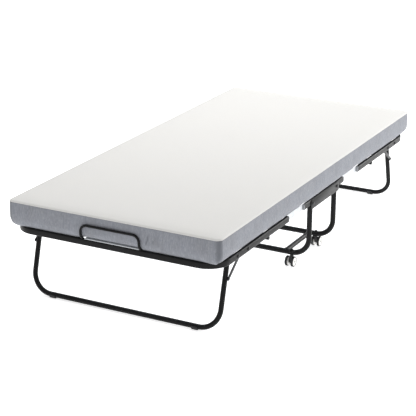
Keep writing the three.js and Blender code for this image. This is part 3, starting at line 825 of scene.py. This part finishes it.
class BED_OT_stage(bpy.types.Operator):
    """Set the camera, the white room and its soft lights"""

    bl_idname = "bed.stage"
    bl_label = "Stage"

    def execute(self, context):
        stage = stage_sizes()
        clear_selection()
        bpy.ops.object.camera_add(location=stage.camera_place)
        camera = bpy.context.object
        camera.name = "camera"
        forward = Vector((
            math.cos(stage.pitch) * math.cos(stage.heading),
            math.cos(stage.pitch) * math.sin(stage.heading), -math.sin(stage.pitch),
        ))
        level = forward.cross(UP).normalized()
        right = level * math.cos(stage.roll) + level.cross(forward) * math.sin(stage.roll)
        up = right.cross(forward)
        camera.rotation_euler = Matrix((right, up, -forward)).transposed().to_euler()
        camera.data.lens = stage.lens
        camera.data.sensor_width = 36.0
        camera.data.clip_end = 200.0
        context.scene.camera = camera

        paper = primitive("plane", size=stage.sweep, location=(0, 0, 0))
        paper.name = "background_paper"
        paper.data.materials.append(paint(studio_paper))

        world = bpy.data.worlds.new("white_room")
        context.scene.world = world
        world.use_nodes = True
        world.node_tree.nodes.clear()
        sky = add_node(
            world.node_tree, "ShaderNodeBackground", None,
            {"Color": (1.0, 1.0, 1.0, 1.0), "Strength": 0.56},
        )
        add_node(world.node_tree, "ShaderNodeOutputWorld", None, {"Surface": sky.outputs[0]})
        soft_box("window_side", (6.0, -3.5, 2.0), (2.3, -0.45, 0.3), 2.6, 300)
        soft_box("overhead", (1.2, 0.6, 3.4), (0.0, 0.0, 0.3), 2.5, 72)
        context.scene.view_settings.view_transform = "Standard"
        return {"FINISHED"}


# ---------------------------------------------------------------------------
# End decks
# ---------------------------------------------------------------------------


def rail_plug(face, inwards, width, height):
    """A moulded plug whose rounded lip closes a flat-sided tube."""
    lip = 2.2 * MM
    plug = flat_tube([face, face + inwards * lip], width, height, sizes().rail_corner)
    return soften(plug, 0.9 * MM, segments=3)


class BED_OT_end_rails(bpy.types.Operator):
    """Bend the two end rails and plug their inner ends"""

    bl_idname = "bed.end_rails"
    bl_label = "End rails"

    def execute(self, context):
        own = sizes()
        low, high = box_of("foot_rail")
        level = (low.z + high.z) / 2
        far, side = high.x - own.rail_wall / 2, high.y - own.rail_wall / 2
        path = [(low.x, -side, level), (far, -side, level), (far, side, level), (low.x, side, level)]
        rail = flat_tube(path, own.rail_wall, high.z - low.z, own.rail_corner, own.rail_bend)
        spread(
            both_ends(rail), "{end}_rail_tube", satin_powder_coat, "{end}_deck",
            "{end}_rail",
        )
        face = Vector((low.x, side, level))
        plug = rail_plug(face, -ALONG, own.rail_wall, high.z - low.z)
        spread(
            four_corners(plug), "{end}_rail_plug_{hand}", grey_plug_and_highlight, "{end}_deck",
        )
        return {"FINISHED"}


class BED_OT_cross_tubes(bpy.types.Operator):
    """Cut the cross tubes under the end rails and in the centre frame"""

    bl_idname = "bed.cross_tubes"
    bl_label = "Cross tubes"

    def execute(self, context):
        bars = {}
        for node in ("foot_cross_tube", "centre_cross_tube"):
            low, high = box_of(node)
            centre = (low + high) / 2
            bars[node] = rod(
                (centre.x, low.y, centre.z), (centre.x, high.y, centre.z), high.x - low.x,
                ease=1.2 * MM,
            )
        finish(
            bars["centre_cross_tube"], "centre_cross_bar", paint(satin_powder_coat), "centre_frame",
            ["centre_cross_tube"],
        )
        spread(
            both_ends(bars["foot_cross_tube"]), "{end}_cross_bar", satin_powder_coat, "{end}_deck",
            "{end}_cross_tube",
        )
        return {"FINISHED"}


class BED_OT_hinge_arms(bpy.types.Operator):
    """Forge the flat arms that reach from the end rails to the hinges"""

    bl_idname = "bed.hinge_arms"
    bl_label = "Hinge arms"

    def execute(self, context):
        low, high = box_of("foot_hinge_arm_left")
        hinge = joint_place("foot_deck_fold")
        width = 2 * (hinge.x - low.x)
        place_y = (low.y + high.y) / 2
        arm = flat_bar(
            (hinge.x, place_y, hinge.z), (high.x - width / 2, place_y, high.z - width / 2),
            width, high.y - low.y,
        )
        spread(
            four_corners(arm), "{end}_hinge_strap_{hand}", satin_powder_coat, "{end}_deck",
            "{end}_hinge_arm_{hand}",
        )
        return {"FINISHED"}


class BED_OT_retainers(bpy.types.Operator):
    """Bend the hoops that stand on the end rails and hold the mattress"""

    bl_idname = "bed.retainers"
    bl_label = "Mattress retainers"

    def execute(self, context):
        own = sizes()
        low, high = box_of("foot_retainer")
        radius = own.retainer_rod / 2
        half, top_x, top_z = high.y - radius, high.x - radius, high.z - radius
        foot_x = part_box("foot_rail")[1][0] - HOOP_FOOT_INSET
        knee = Vector((top_x - MM, half, low.z + HOOP_KNEE_RISE))
        slope = (knee.x - foot_x) / (knee.z - low.z)
        below = Vector((foot_x - slope * HOOP_SPARE, half, low.z - HOOP_SPARE))
        top = Vector((top_x, half, top_z))
        right = [Vector((p.x, -p.y, p.z)) for p in (below, knee, top)]
        hoop = round_tube([*right, top, knee, below], own.retainer_rod, own.retainer_bend, steps=8)
        trim(hoop, low.z, clear_inner=True)
        feet = [
            weld_bead((foot_x + slope * MM, side * half, low.z + 1.2 * MM), UP, own.retainer_rod)
            for side in (1, -1)
        ]
        spread(
            both_ends(assemble(hoop, *feet)), "{end}_retainer_hoop", satin_powder_coat, "{end}_deck",
            "{end}_retainer",
        )
        return {"FINISHED"}


def washer_and_head(place, outer):
    """A thin washer on a rail's outer face and the dome head on it, out to a width."""
    seat = place + ACROSS * WASHER
    return [
        rod(place, seat, sizes().bolt_head + MM, ease=0.3 * MM),
        dome_head(seat, ACROSS, sizes().bolt_head - MM, outer - seat.y),
    ]


class BED_OT_bolts(bpy.types.Operator):
    """Turn the dome-head bolts, nuts and bushes of the hinges and the legs"""

    bl_idname = "bed.bolts"
    bl_label = "Bolts"

    def execute(self, context):
        own = sizes()
        for node, body in (("foot_leg_bolt_left", "deck"), ("hinge_bolt_foot_left", None)):
            low, high = box_of(node)
            centre = (low + high) / 2
            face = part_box("foot_rail")[1][1] + CLEAR
            at = lambda y: Vector((centre.x, y, centre.z))
            parts = [
                rod(at(low.y + NUT_LENGTH), at(face), own.bolt_shank),
                hexagon_nut(at(low.y), ACROSS, own.bolt_head, NUT_LENGTH),
                *washer_and_head(at(face), high.y),
            ]
            if body:
                bush = (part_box("foot_leg")[1][1] + CLEAR, face - own.rail_wall - 2 * CLEAR)
                parts.append(rod(at(bush[0]), at(bush[1]), own.bolt_head - MM, ease=0.5 * MM))
            for (end, hand), piece in four_corners(assemble(*parts)).items():
                if body:
                    name, old = f"{end}_leg_pivot_{hand}", f"{end}_leg_bolt_{hand}"
                    ride = f"{end}_deck"
                else:
                    name, old = f"{end}_hinge_pivot_{hand}", f"hinge_bolt_{end}_{hand}"
                    ride = "centre_frame"
                finish(piece, name, paint(black_zinc), ride, [old])
        return {"FINISHED"}


class BED_OT_stays(bpy.types.Operator):
    """Press the slotted guides behind the rails and the stays that slide in them"""

    bl_idname = "bed.stays"
    bl_label = "Stays and guides"

    def execute(self, context):
        own = sizes()
        low, high = box_of("foot_stay_guide_left")
        level = (low.z + high.z) / 2
        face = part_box("foot_rail")[1][1] + CLEAR
        guide_outer = face - own.rail_wall - 2 * CLEAR
        thickness = guide_outer - low.y
        guide_y = (guide_outer + low.y) / 2
        guide = flat_blank(high.x - low.x, high.z - low.z, thickness, GUIDE_RIM)
        placed(guide, place=((low.x + high.x) / 2, guide_y, level))
        slot_start = low.x + GUIDE_RIM + own.guide_slot / 2
        stay_low, stay_high = box_of("foot_stay_left")
        anchor = joint_place("foot_stay_fold_left")
        pin_x = stay_low.x + STAY_EYE
        cutter = flat_blank(
            pin_x - slot_start + own.guide_slot, own.guide_slot, 3 * thickness, own.guide_slot / 2,
        )
        placed(cutter, place=((pin_x + slot_start) / 2, guide_y, level))
        cut_away(guide, cutter)
        soften(guide, 0.5 * MM, segments=2)
        stud_x = high.x - STUD_INSET
        stud = assemble(
            rod((stud_x, guide_outer, level), (stud_x, face, level), own.bolt_shank),
            *washer_and_head(Vector((stud_x, face, level)), high.y),
        )
        spread(
            four_corners(assemble(guide, stud)), "{end}_stay_slide_{hand}", black_zinc, "{end}_deck",
            "{end}_stay_guide_{hand}",
        )
        leg_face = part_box("foot_leg")[1][1]
        bar_inner = leg_face + STAY_GAP
        bar_outer = bar_inner + STAY_THICKNESS
        bar_y = (bar_inner + bar_outer) / 2
        stay = flat_bar(
            (anchor.x, bar_y, anchor.z), (pin_x, bar_y, level), 2 * (pin_x - stay_low.x),
            bar_outer - bar_inner, ease=0.7 * MM,
        )
        at_anchor = lambda y: Vector((anchor.x, y, anchor.z))
        at_pin = lambda y: Vector((pin_x, y, level))
        stay = assemble(
            stay,
            rod(at_anchor(leg_face + CLEAR), at_anchor(bar_inner), own.bolt_shank),
            dome_head(at_anchor(bar_outer), ACROSS, 11 * MM, 2.2 * MM),
            rod(at_pin(bar_outer), at_pin(low.y - CLEAR), own.bolt_shank),
            dome_head(at_pin(bar_inner), -ACROSS, 10 * MM, 1.6 * MM),
        )
        spread(
            four_corners(stay), "{end}_stay_bar_{hand}", black_zinc, "{end}_stay_arm_{hand}",
            "{end}_stay_{hand}",
        )
        return {"FINISHED"}


class BED_OT_legs(bpy.types.Operator):
    """Bend the two U legs and fit their plugs and rubber feet"""

    bl_idname = "bed.legs"
    bl_label = "Legs and feet"

    def execute(self, context):
        own = sizes()
        low, high = box_of("foot_leg")
        pad_low, pad_high = box_of("foot_foot_pad_left")
        pivot = joint_place("foot_leg_fold")
        diameter = LEG_DIAMETER
        side = high.y - diameter / 2
        foot = Vector(((pad_low.x + pad_high.x) / 2, 0, diameter / 2 + PAD_TREAD))
        lean = (pivot - foot).normalized()
        top = pivot + lean * LEG_PAST_PIVOT
        at = lambda place, y: Vector((place.x, y, place.z))
        leg = round_tube(
            [at(top, -side), at(foot, -side), at(foot, side), at(top, side)], diameter, own.leg_bend,
        )
        spread(
            both_ends(leg), "{end}_leg_tube", satin_powder_coat, "{end}_leg_frame",
            "{end}_leg",
        )
        plug = dome_head(at(top, side), lean, diameter - MM, LEG_PLUG_HEIGHT)
        spread(
            four_corners(plug), "{end}_leg_plug_{hand}", moulded_nylon, "{end}_leg_frame",
        )
        sleeve = rod(at(foot, pad_low.y), at(foot, pad_high.y), 2 * PAD_RADIUS, sides=40)
        trim(sleeve, 0, clear_inner=True)
        trim(sleeve, foot.z + SADDLE_LIP, clear_outer=True)
        bore = rod(
            at(foot, pad_low.y - BORE_SPARE), at(foot, pad_high.y + BORE_SPARE),
            diameter + 2 * CLEAR, sides=40,
        )
        cut_away(sleeve, bore)
        soften(sleeve, 1.1 * MM, segments=3)
        spread(
            four_corners(sleeve), "{end}_rubber_foot_{hand}", moulded_rubber, "{end}_leg_frame",
            "{end}_foot_pad_{hand}",
        )
        return {"FINISHED"}


# ---------------------------------------------------------------------------
# Centre frame and casters
# ---------------------------------------------------------------------------


class BED_OT_centre_frame(bpy.types.Operator):
    """Make the fixed middle: rails, side plates, caster loops and their ties"""

    bl_idname = "bed.centre_frame"
    bl_label = "Centre frame"

    def execute(self, context):
        own = sizes()
        low, high = box_of("centre_rail_left")
        centre = (low + high) / 2
        ends = [Vector((low.x, centre.y, centre.z)), Vector((high.x, centre.y, centre.z))]
        width, height = high.y - low.y, high.z - low.z
        rail = flat_tube(ends, width, height, own.rail_corner)
        spread(
            both_hands(rail), "centre_side_tube_{hand}", satin_powder_coat, "centre_frame",
            "centre_rail_{hand}",
        )
        plug = rail_plug(ends[1], ALONG, width, height)
        spread(
            four_corners(plug), "centre_plug_{end}_{hand}", grey_plug_and_highlight, "centre_frame",
        )

        low, high = box_of("side_plate_left")
        plate = flat_blank(high.x - low.x, high.z - low.z, high.y - low.y, PLATE_CORNER)
        placed(plate, place=(low + high) / 2)
        soften(plate, 0.6 * MM)
        spread(
            both_hands(plate), "centre_side_plate_{hand}", satin_powder_coat, "centre_frame",
            "side_plate_{hand}",
        )

        low, high = box_of("caster_loop_foot")
        x, diameter = (low.x + high.x) / 2, high.x - low.x
        side, bar = high.y - diameter / 2, low.z + diameter / 2
        stem_y = middle("caster_foot_left").y
        loop = assemble(
            round_tube(
                [(x, -side, high.z), (x, -side, bar), (x, side, bar), (x, side, high.z)],
                diameter, own.loop_bend,
            ),
            *[weld_bead((x, s * side, high.z - 0.8 * MM), UP, diameter) for s in (1, -1)],
            *[
                dome_head(Vector((x, s * stem_y, bar + 0.46 * diameter)), UP, *STEM_CAP)
                for s in (1, -1)
            ],
        )
        spread(
            both_ends(loop), "{end}_loop_tube", satin_powder_coat, "centre_frame",
            "caster_loop_{end}",
        )
        low, high = box_of("loop_tie_left")
        centre = (low + high) / 2
        inner = x - diameter / 2
        tie = assemble(
            rod((-inner, centre.y, centre.z), (inner, centre.y, centre.z), high.y - low.y),
            *[
                weld_bead((s * (inner + 0.4 * MM), centre.y, centre.z), ALONG, high.y - low.y)
                for s in (1, -1)
            ],
        )
        spread(
            both_hands(tie), "loop_brace_{hand}", satin_powder_coat, "centre_frame",
            "loop_tie_{hand}",
        )
        return {"FINISHED"}


class BED_OT_casters(bpy.types.Operator):
    """Mould the swivelling caster bodies"""

    bl_idname = "bed.casters"
    bl_label = "Caster bodies"

    def execute(self, context):
        low, high = box_of("caster_foot_left")
        turn = joint_place("caster_turn_foot_left")
        axle = joint_place("wheel_spin_foot_left_outer")
        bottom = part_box("caster_loop_foot")[0][2]
        disc_top, disc_bottom = bottom - CLEAR, bottom - CASTER_COLLAR
        at = lambda z: Vector((turn.x, turn.y, z))
        web = flat_bar(
            (turn.x, turn.y, disc_top - 9 * MM), (axle.x, turn.y, axle.z), *CASTER_WEB, ease=1.5 * MM,
        )
        body = assemble(
            web,
            rod(at(disc_bottom), at(disc_top), 14 * MM, ease=0.8 * MM),
            rod(at(disc_top), at(high.z), 10 * MM),
            rod((axle.x, low.y, axle.z), (axle.x, high.y, axle.z), 5 * MM, sides=20),
        )
        spread(
            four_corners(body), "{end}_caster_body_{hand}", moulded_nylon, "caster_swivel_{end}_{hand}",
            "caster_{end}_{hand}",
        )
        return {"FINISHED"}


def wheel_hub(centre, radius, thickness, bore):
    """A dished disc: a flat rim, a sunk web and a raised boss round the axle."""
    hub = rod(centre - ACROSS * thickness / 2, centre + ACROSS * thickness / 2, 2 * radius, sides=48)
    for side in (1, -1):
        face = centre.y + side * thickness / 2
        edit(hub)
        pick("faces", lambda f: abs(f.calc_center_median().y - face) < MM / 10)
        bpy.ops.mesh.inset(thickness=1.6 * MM)
        bpy.ops.mesh.inset(thickness=1.2 * MM)
        bpy.ops.transform.translate(value=(0, -side * 1.1 * MM, 0))
        bpy.ops.mesh.inset(thickness=9.2 * MM)
        bpy.ops.mesh.inset(thickness=0.8 * MM)
        bpy.ops.transform.translate(value=(0, side * 1.5 * MM, 0))
        done()
    cut_away(hub, rod(centre - ACROSS * thickness, centre + ACROSS * thickness, 2 * bore, sides=24))
    return soften(hub, 0.35 * MM, segments=2)


class BED_OT_wheels(bpy.types.Operator):
    """Mould the twin wheels, a white hub in a black tread"""

    bl_idname = "bed.wheels"
    bl_label = "Wheels"

    def execute(self, context):
        own = sizes()
        for where in ("inner", "outer"):
            low, high = box_of(f"wheel_foot_left_{where}")
            centre = (low + high) / 2
            radius, width = (high.z - low.z) / 2, high.y - low.y
            hub_radius = radius - own.tyre_depth
            tread = rod(centre - ACROSS * width / 2, centre + ACROSS * width / 2, 2 * radius, sides=56)
            seat = 2 * hub_radius + TREAD_GAP
            cut_away(tread, rod(centre - ACROSS * width, centre + ACROSS * width, seat, sides=56))
            soften(tread, 1.0 * MM, segments=3)
            hub = wheel_hub(centre, hub_radius, width - 0.6 * MM, HUB_BORE)
            for (end, hand), piece in four_corners(hub).items():
                finish(
                    piece, f"{end}_hub_{hand}_{where}", paint(white_polypropylene),
                    f"roller_{end}_{hand}_{where}", [f"wheel_{end}_{hand}_{where}"],
                )
            for (end, hand), piece in four_corners(tread).items():
                finish(
                    piece, f"{end}_tread_{hand}_{where}", paint(moulded_rubber),
                    f"roller_{end}_{hand}_{where}",
                )
        return {"FINISHED"}


# ---------------------------------------------------------------------------
# Mattress and deck cloth
# ---------------------------------------------------------------------------


def slice_across(piece, places, axis):
    """Cuts extra edge loops square to an axis, where the mesh has to bend."""
    edit(piece)
    for place in places:
        select_everything()
        bpy.ops.mesh.bisect(plane_co=axis * place, plane_no=axis)
    close_up()


def spaced(start, end, step):
    """Places from start up to end, evenly spaced at about a step."""
    count = max(1, round((end - start) / step))
    return [start + (end - start) * i / count for i in range(1, count)]


def cover_levels(height):
    """Heights and insets of the cover's outline, from the lower edge to the top."""
    own = cover()
    levels = []
    for step in range(7):
        turn = math.radians(90) * step / 6
        levels.append((own.bottom_round * (1 - math.cos(turn)), own.bottom_round * (1 - math.sin(turn))))
    seam = height - own.wrap
    levels += [(z, 0.0) for z in spaced(own.bottom_round, seam - 1.5 * MM, 12 * MM)]
    levels += [
        (seam - 1.5 * MM, 0.0), (seam - 0.4 * MM, 1.3 * MM), (seam + 0.4 * MM, 1.3 * MM),
        (seam + 1.5 * MM, -0.3 * MM),
    ]
    for step in range(1, 5):
        turn = math.radians(90) * step / 4
        levels.append((
            height - own.top_round * (1 - math.sin(turn)), own.top_round * (1 - math.cos(turn)),
        ))
    return levels


def mattress_half():
    """The foot half of the mattress, drawn up level by level from its lower panel."""
    own = cover()
    low, high = box_of("mattress_foot")
    long, wide = high.x, high.y - low.y
    levels = cover_levels(high.z - low.z)
    half = placed(primitive("plane", size=1), scale=(long, wide, 1), place=(long / 2, 0, low.z))
    edit(half, "VERT")
    pick("verts", lambda v: v.co.x > long / 2)
    bpy.ops.mesh.bevel(offset=own.plan_corner, segments=7, affect="VERTICES")
    bpy.ops.mesh.select_mode(type="FACE")
    select_everything()
    before_z, before_inset = 0.0, 0.0
    for index, (level, inset) in enumerate(levels):
        if index:
            extrude_by((0, 0, level - before_z))
        longer = (long - inset) / (long - before_inset)
        wider = (wide - 2 * inset) / (wide - 2 * before_inset)
        bpy.ops.transform.resize(
            value=(longer, wider, 1), center_override=(0, 0, low.z + level),
        )
        before_z, before_inset = level, inset
    close_up()
    slice_across(half, spaced(0, own.bend_reach, own.hinge_grid), ALONG)
    slice_across(half, spaced(own.bend_reach, long - own.plan_corner, own.grid), ALONG)
    slice_across(half, spaced(-wide / 2, wide / 2, own.grid), ACROSS)
    return half


def settle(v, low, high):
    """How the foam has settled: rounded off to its edges, with slack in the border."""
    edge = min(high.x - abs(v.x), high.y - abs(v.y))
    rise = v.z - low.z
    tall = high.z - low.z
    wave = noise.noise(Vector((v.x * 5.0, v.y * 5.0, 0.0)))
    slack = noise.noise(Vector((v.x * 9.0, v.y * 9.0, v.z * 14.0)))
    upper = max(0.0, (rise - tall * 0.7) / (tall * 0.3))
    drop = upper * (2.6 * MM * max(0.0, 1 - edge / 0.07) ** 2 + 0.9 * MM * (0.5 + 0.5 * wave))
    belly = math.sin(math.pi * min(1.0, max(0.0, (rise - 0.01) / (tall - 0.018))))
    near_edge = max(0.0, 1 - edge / 0.01)
    out = near_edge * belly * (1.6 * MM + 2.2 * MM * slack)
    middle_dip = math.exp(-((abs(v.x) - 0.1) / 0.26) ** 4)
    end_lift = max(0.0, (abs(v.x) - 0.75) / 0.2)
    lower = near_edge * max(0.0, 1 - rise / 0.05) * min(1.0, rise / 0.012)
    sag = lower * (-7.0 * MM * middle_dip + 3.0 * MM * end_lift)
    sag -= settled_lip(v, low, high)
    side_y = math.copysign(1.0, v.y) if high.y - abs(v.y) < BORDER_BAND else 0.0
    side_x = math.copysign(1.0, v.x) if high.x - abs(v.x) < BORDER_BAND else 0.0
    return Vector((v.x + side_x * out, v.y + side_y * out, v.z - drop + sag))


def settled_lip(v, low, high):
    """How far the lower panel's edge sinks inside the rails, except over the cloth's own edges."""
    own = cover()
    rise, depth = v.z - low.z, 0.0
    end_gap, side_gap = high.x - abs(v.x), high.y - abs(v.y)
    over_tongue = end_gap < side_gap and abs(v.y) < TONGUE_REACH
    over_pocket = side_gap < end_gap and POCKET_RANGE[0] < abs(v.x) < POCKET_RANGE[1]
    if rise < 0.5 * own.bottom_round and not over_tongue and not over_pocket:
        gap = min(end_gap, side_gap)
        shallow = SIDE_SINK if side_gap < end_gap else END_SINK
        if gap < own.bottom_round + MM:
            depth = shallow * min(1.0, gap / own.bottom_round + 0.12) ** 0.8
    return depth


def crease(v, high):
    """Two short folds in the border beside the retainer's foot at the head end."""
    if v.x > BORDER_BAND - high.x:
        return 0.0
    depth = 0.0
    for place, lean, low_z, high_z, size in (
        (-0.143, 0.35, 0.318, 0.376, 7.0 * MM), (-0.166, 0.9, 0.33, 0.37, 5.5 * MM),
    ):
        if low_z < v.z < high_z:
            window = math.sin(math.pi * (v.z - low_z) / (high_z - low_z))
            off = v.y - place + lean * (v.z - low_z)
            depth += size * window * math.exp(-(off / (3.2 * MM)) ** 2)
    return depth


def corner_shade_amount(place, high):
    """How much painted shade darkens the border on its rounded upright corners."""
    radius = cover().plan_corner
    off_x, off_y = abs(place.x) - high.x + radius, abs(place.y) - high.y + radius
    if min(off_x, off_y) <= 0:
        return 0.0
    return 0.75 * math.sin(2 * math.atan2(off_y, off_x)) ** 0.7


class BED_OT_mattress(bpy.types.Operator):
    """Sew and settle the foam mattress, in two halves that meet over the centre frame"""

    bl_idname = "bed.mattress"
    bl_label = "Mattress"

    def execute(self, context):
        own = cover()
        low, high = box_of("mattress_foot")
        halves = both_ends(mattress_half())
        seam = [own.seam_place + offset * MM for offset in (-4, -1.2, 0, 1.2, 4)]
        slice_across(halves["head"], seam, ACROSS)
        slice_across(halves["head"], [-0.128 - 4 * MM * i for i in range(16)], ACROSS)
        border_top = high.z - own.wrap
        for end, half in halves.items():
            mesh = half.data
            for material in (white_stretch_knit, heather_border_knit):
                mesh.materials.append(paint(material))
            for face in mesh.polygons:
                face.material_index = int(low.z + MM / 10 < face.center.z < border_top)
            # Each point gets its share of the painted shade on the border's rounded upright corners.
            nap = mesh.attributes.new("nap", "FLOAT", "POINT")
            for v in mesh.vertices:
                co = v.co.copy()
                nap.data[v.index].value = corner_shade_amount(co, high)
                if end == "head":
                    co.x += crease(co, high)
                    on_face = co.x < BORDER_BAND - high.x and low.z + 0.02 < co.z < border_top
                    if on_face and abs(co.y - own.seam_place) < 0.3 * MM:
                        co.x += 1.6 * MM
                v.co = settle(co, low, high)
            lay_out(half)
            nodes = [f"mattress_{end}"] + (["mattress_centre"] if end == "foot" else [])
            finish(half, f"mattress_{end}_half", None, None, nodes, angle=40)
            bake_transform(half)
        face_x = -high.x - 1.2 * MM
        stitches = rod(
            (face_x, own.seam_place, low.z + 0.026), (face_x, own.seam_place, border_top - 2 * MM),
            THREAD, sides=10,
        )
        finish(
            stitches, "border_seam_thread", paint(sewing_thread), "head_deck",
        )
        return {"FINISHED"}


class BED_OT_deck_cloth(bpy.types.Operator):
    """Stretch the woven deck cloth over the rails, with a pocket round each hinge arm"""

    bl_idname = "bed.deck_cloth"
    bl_label = "Deck cloth"

    def execute(self, context):
        own = cover()
        woven = paint(woven_polypropylene)
        low, high = box_of("foot_deck_cloth")
        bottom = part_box("centre_deck_cloth")[0][2]
        tall = high.z - bottom
        reach, far = high.y - CLOTH_SIDE_INSET, high.x - CLOTH_END_INSET
        panel = placed(
            primitive("plane", size=1), scale=(far, 2 * reach, 1), place=(far / 2, 0, bottom),
        )
        slice_across(panel, spaced(0, own.bend_reach, own.hinge_grid), ALONG)
        slice_across(panel, spaced(own.bend_reach, far, 2 * own.grid), ALONG)
        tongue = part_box("foot_retainer")[1][1] - TONGUE_MARGIN
        slice_across(panel, [-tongue, *spaced(-tongue, tongue, 2 * own.grid), tongue], ACROSS)
        slice_across(panel, [-0.3, -0.2, 0.2, 0.3, 0.4, -0.4], ACROSS)
        edit(panel, "EDGE")
        pick("edges", lambda e: all(
            v.co.x > far - MM / 10 and abs(v.co.y) < tongue + MM / 10 for v in e.verts
        ))
        tongue_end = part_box("foot_rail")[1][0] - 1.5 * MM
        extrude_by((tongue_end - far, 0, 0))
        bpy.ops.mesh.select_mode(type="FACE")
        select_everything()
        extrude_by((0, 0, tall))
        close_up()
        lay_out(panel)
        for end, piece in both_ends(panel).items():
            nodes = [f"{end}_deck_cloth"] + (["centre_deck_cloth"] if end == "foot" else [])
            finish(piece, f"{end}_deck_panel", woven, None, nodes)
            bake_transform(piece)

        arm_low = box_of("foot_hinge_arm_left")[0]
        inner = arm_low.y - POCKET_GAP
        start, stop = low.x, POCKET_END
        size = Vector((stop - start, high.y - inner, bottom - CLEAR - low.z))
        centre = Vector(((start + stop) / 2, (high.y + inner) / 2, low.z + size.z / 2))
        pocket = placed(primitive("cube", size=1), scale=size, place=centre)
        slice_across(pocket, spaced(start, stop, 12 * MM), ALONG)
        edit(pocket)
        pick("faces", lambda f: f.normal.z > 0.9 or abs(f.normal.x) > 0.9)
        bpy.ops.mesh.delete(type="FACE")
        bpy.ops.mesh.select_mode(type="EDGE")
        pick("edges", lambda e: all(v.co.z < low.z + MM for v in e.verts) and abs(
            e.verts[0].co.x - e.verts[1].co.x) > MM)
        bpy.ops.mesh.bevel(offset=2.5 * MM, segments=3, affect="EDGES")
        done()
        for v in pocket.data.vertices:
            v.co.y += 0.5 * MM * noise.noise(v.co * 30)
        modify(pocket, "SOLIDIFY", thickness=POCKET_CLOTH, offset=-1.0)
        lay_out(pocket)
        for (end, hand), piece in four_corners(pocket).items():
            finish(piece, f"{end}_arm_pocket_{hand}", woven, f"{end}_deck")
        return {"FINISHED"}


# ---------------------------------------------------------------------------
# Sidebar and registration
# ---------------------------------------------------------------------------

OPERATORS = (
    BED_OT_stage, BED_OT_end_rails, BED_OT_cross_tubes, BED_OT_hinge_arms, BED_OT_retainers,
    BED_OT_bolts, BED_OT_stays, BED_OT_legs, BED_OT_centre_frame, BED_OT_casters, BED_OT_wheels,
    BED_OT_mattress, BED_OT_deck_cloth,
)
SETTINGS = {
    "bed_frame_sizes": FrameSizes, "bed_mattress_sizes": MattressSizes,
    "bed_finish_colours": FinishColours, "bed_stage_sizes": StageSizes,
}


class BED_PT_rollaway(bpy.types.Panel):
    """Lists the bed's pieces in the order that they are made."""

    bl_label = "Rollaway Bed"
    bl_space_type = "VIEW_3D"
    bl_region_type = "UI"
    bl_category = "Rollaway Bed"

    def draw(self, context):
        for operator in OPERATORS:
            self.layout.operator(operator.bl_idname)
        for attribute, group in SETTINGS.items():
            box = self.layout.box()
            for key in group.__annotations__:
                box.prop(getattr(context.scene, attribute), key)


CLASSES = (*SETTINGS.values(), *OPERATORS, BED_PT_rollaway)


def register():
    for item in CLASSES:
        bpy.utils.register_class(item)
    for attribute, group in SETTINGS.items():
        setattr(bpy.types.Scene, attribute, PointerProperty(type=group))


def unregister():
    for attribute in SETTINGS:
        delattr(bpy.types.Scene, attribute)
    for item in reversed(CLASSES):
        bpy.utils.unregister_class(item)


def main():
    """Makes the whole bed in order."""
    register()
    for operator in OPERATORS:
        group, name = operator.bl_idname.split(".")
        getattr(getattr(bpy.ops, group), name)()
    clear_selection()
    bpy.context.view_layer.update()


if __name__ == "__main__":
    main()
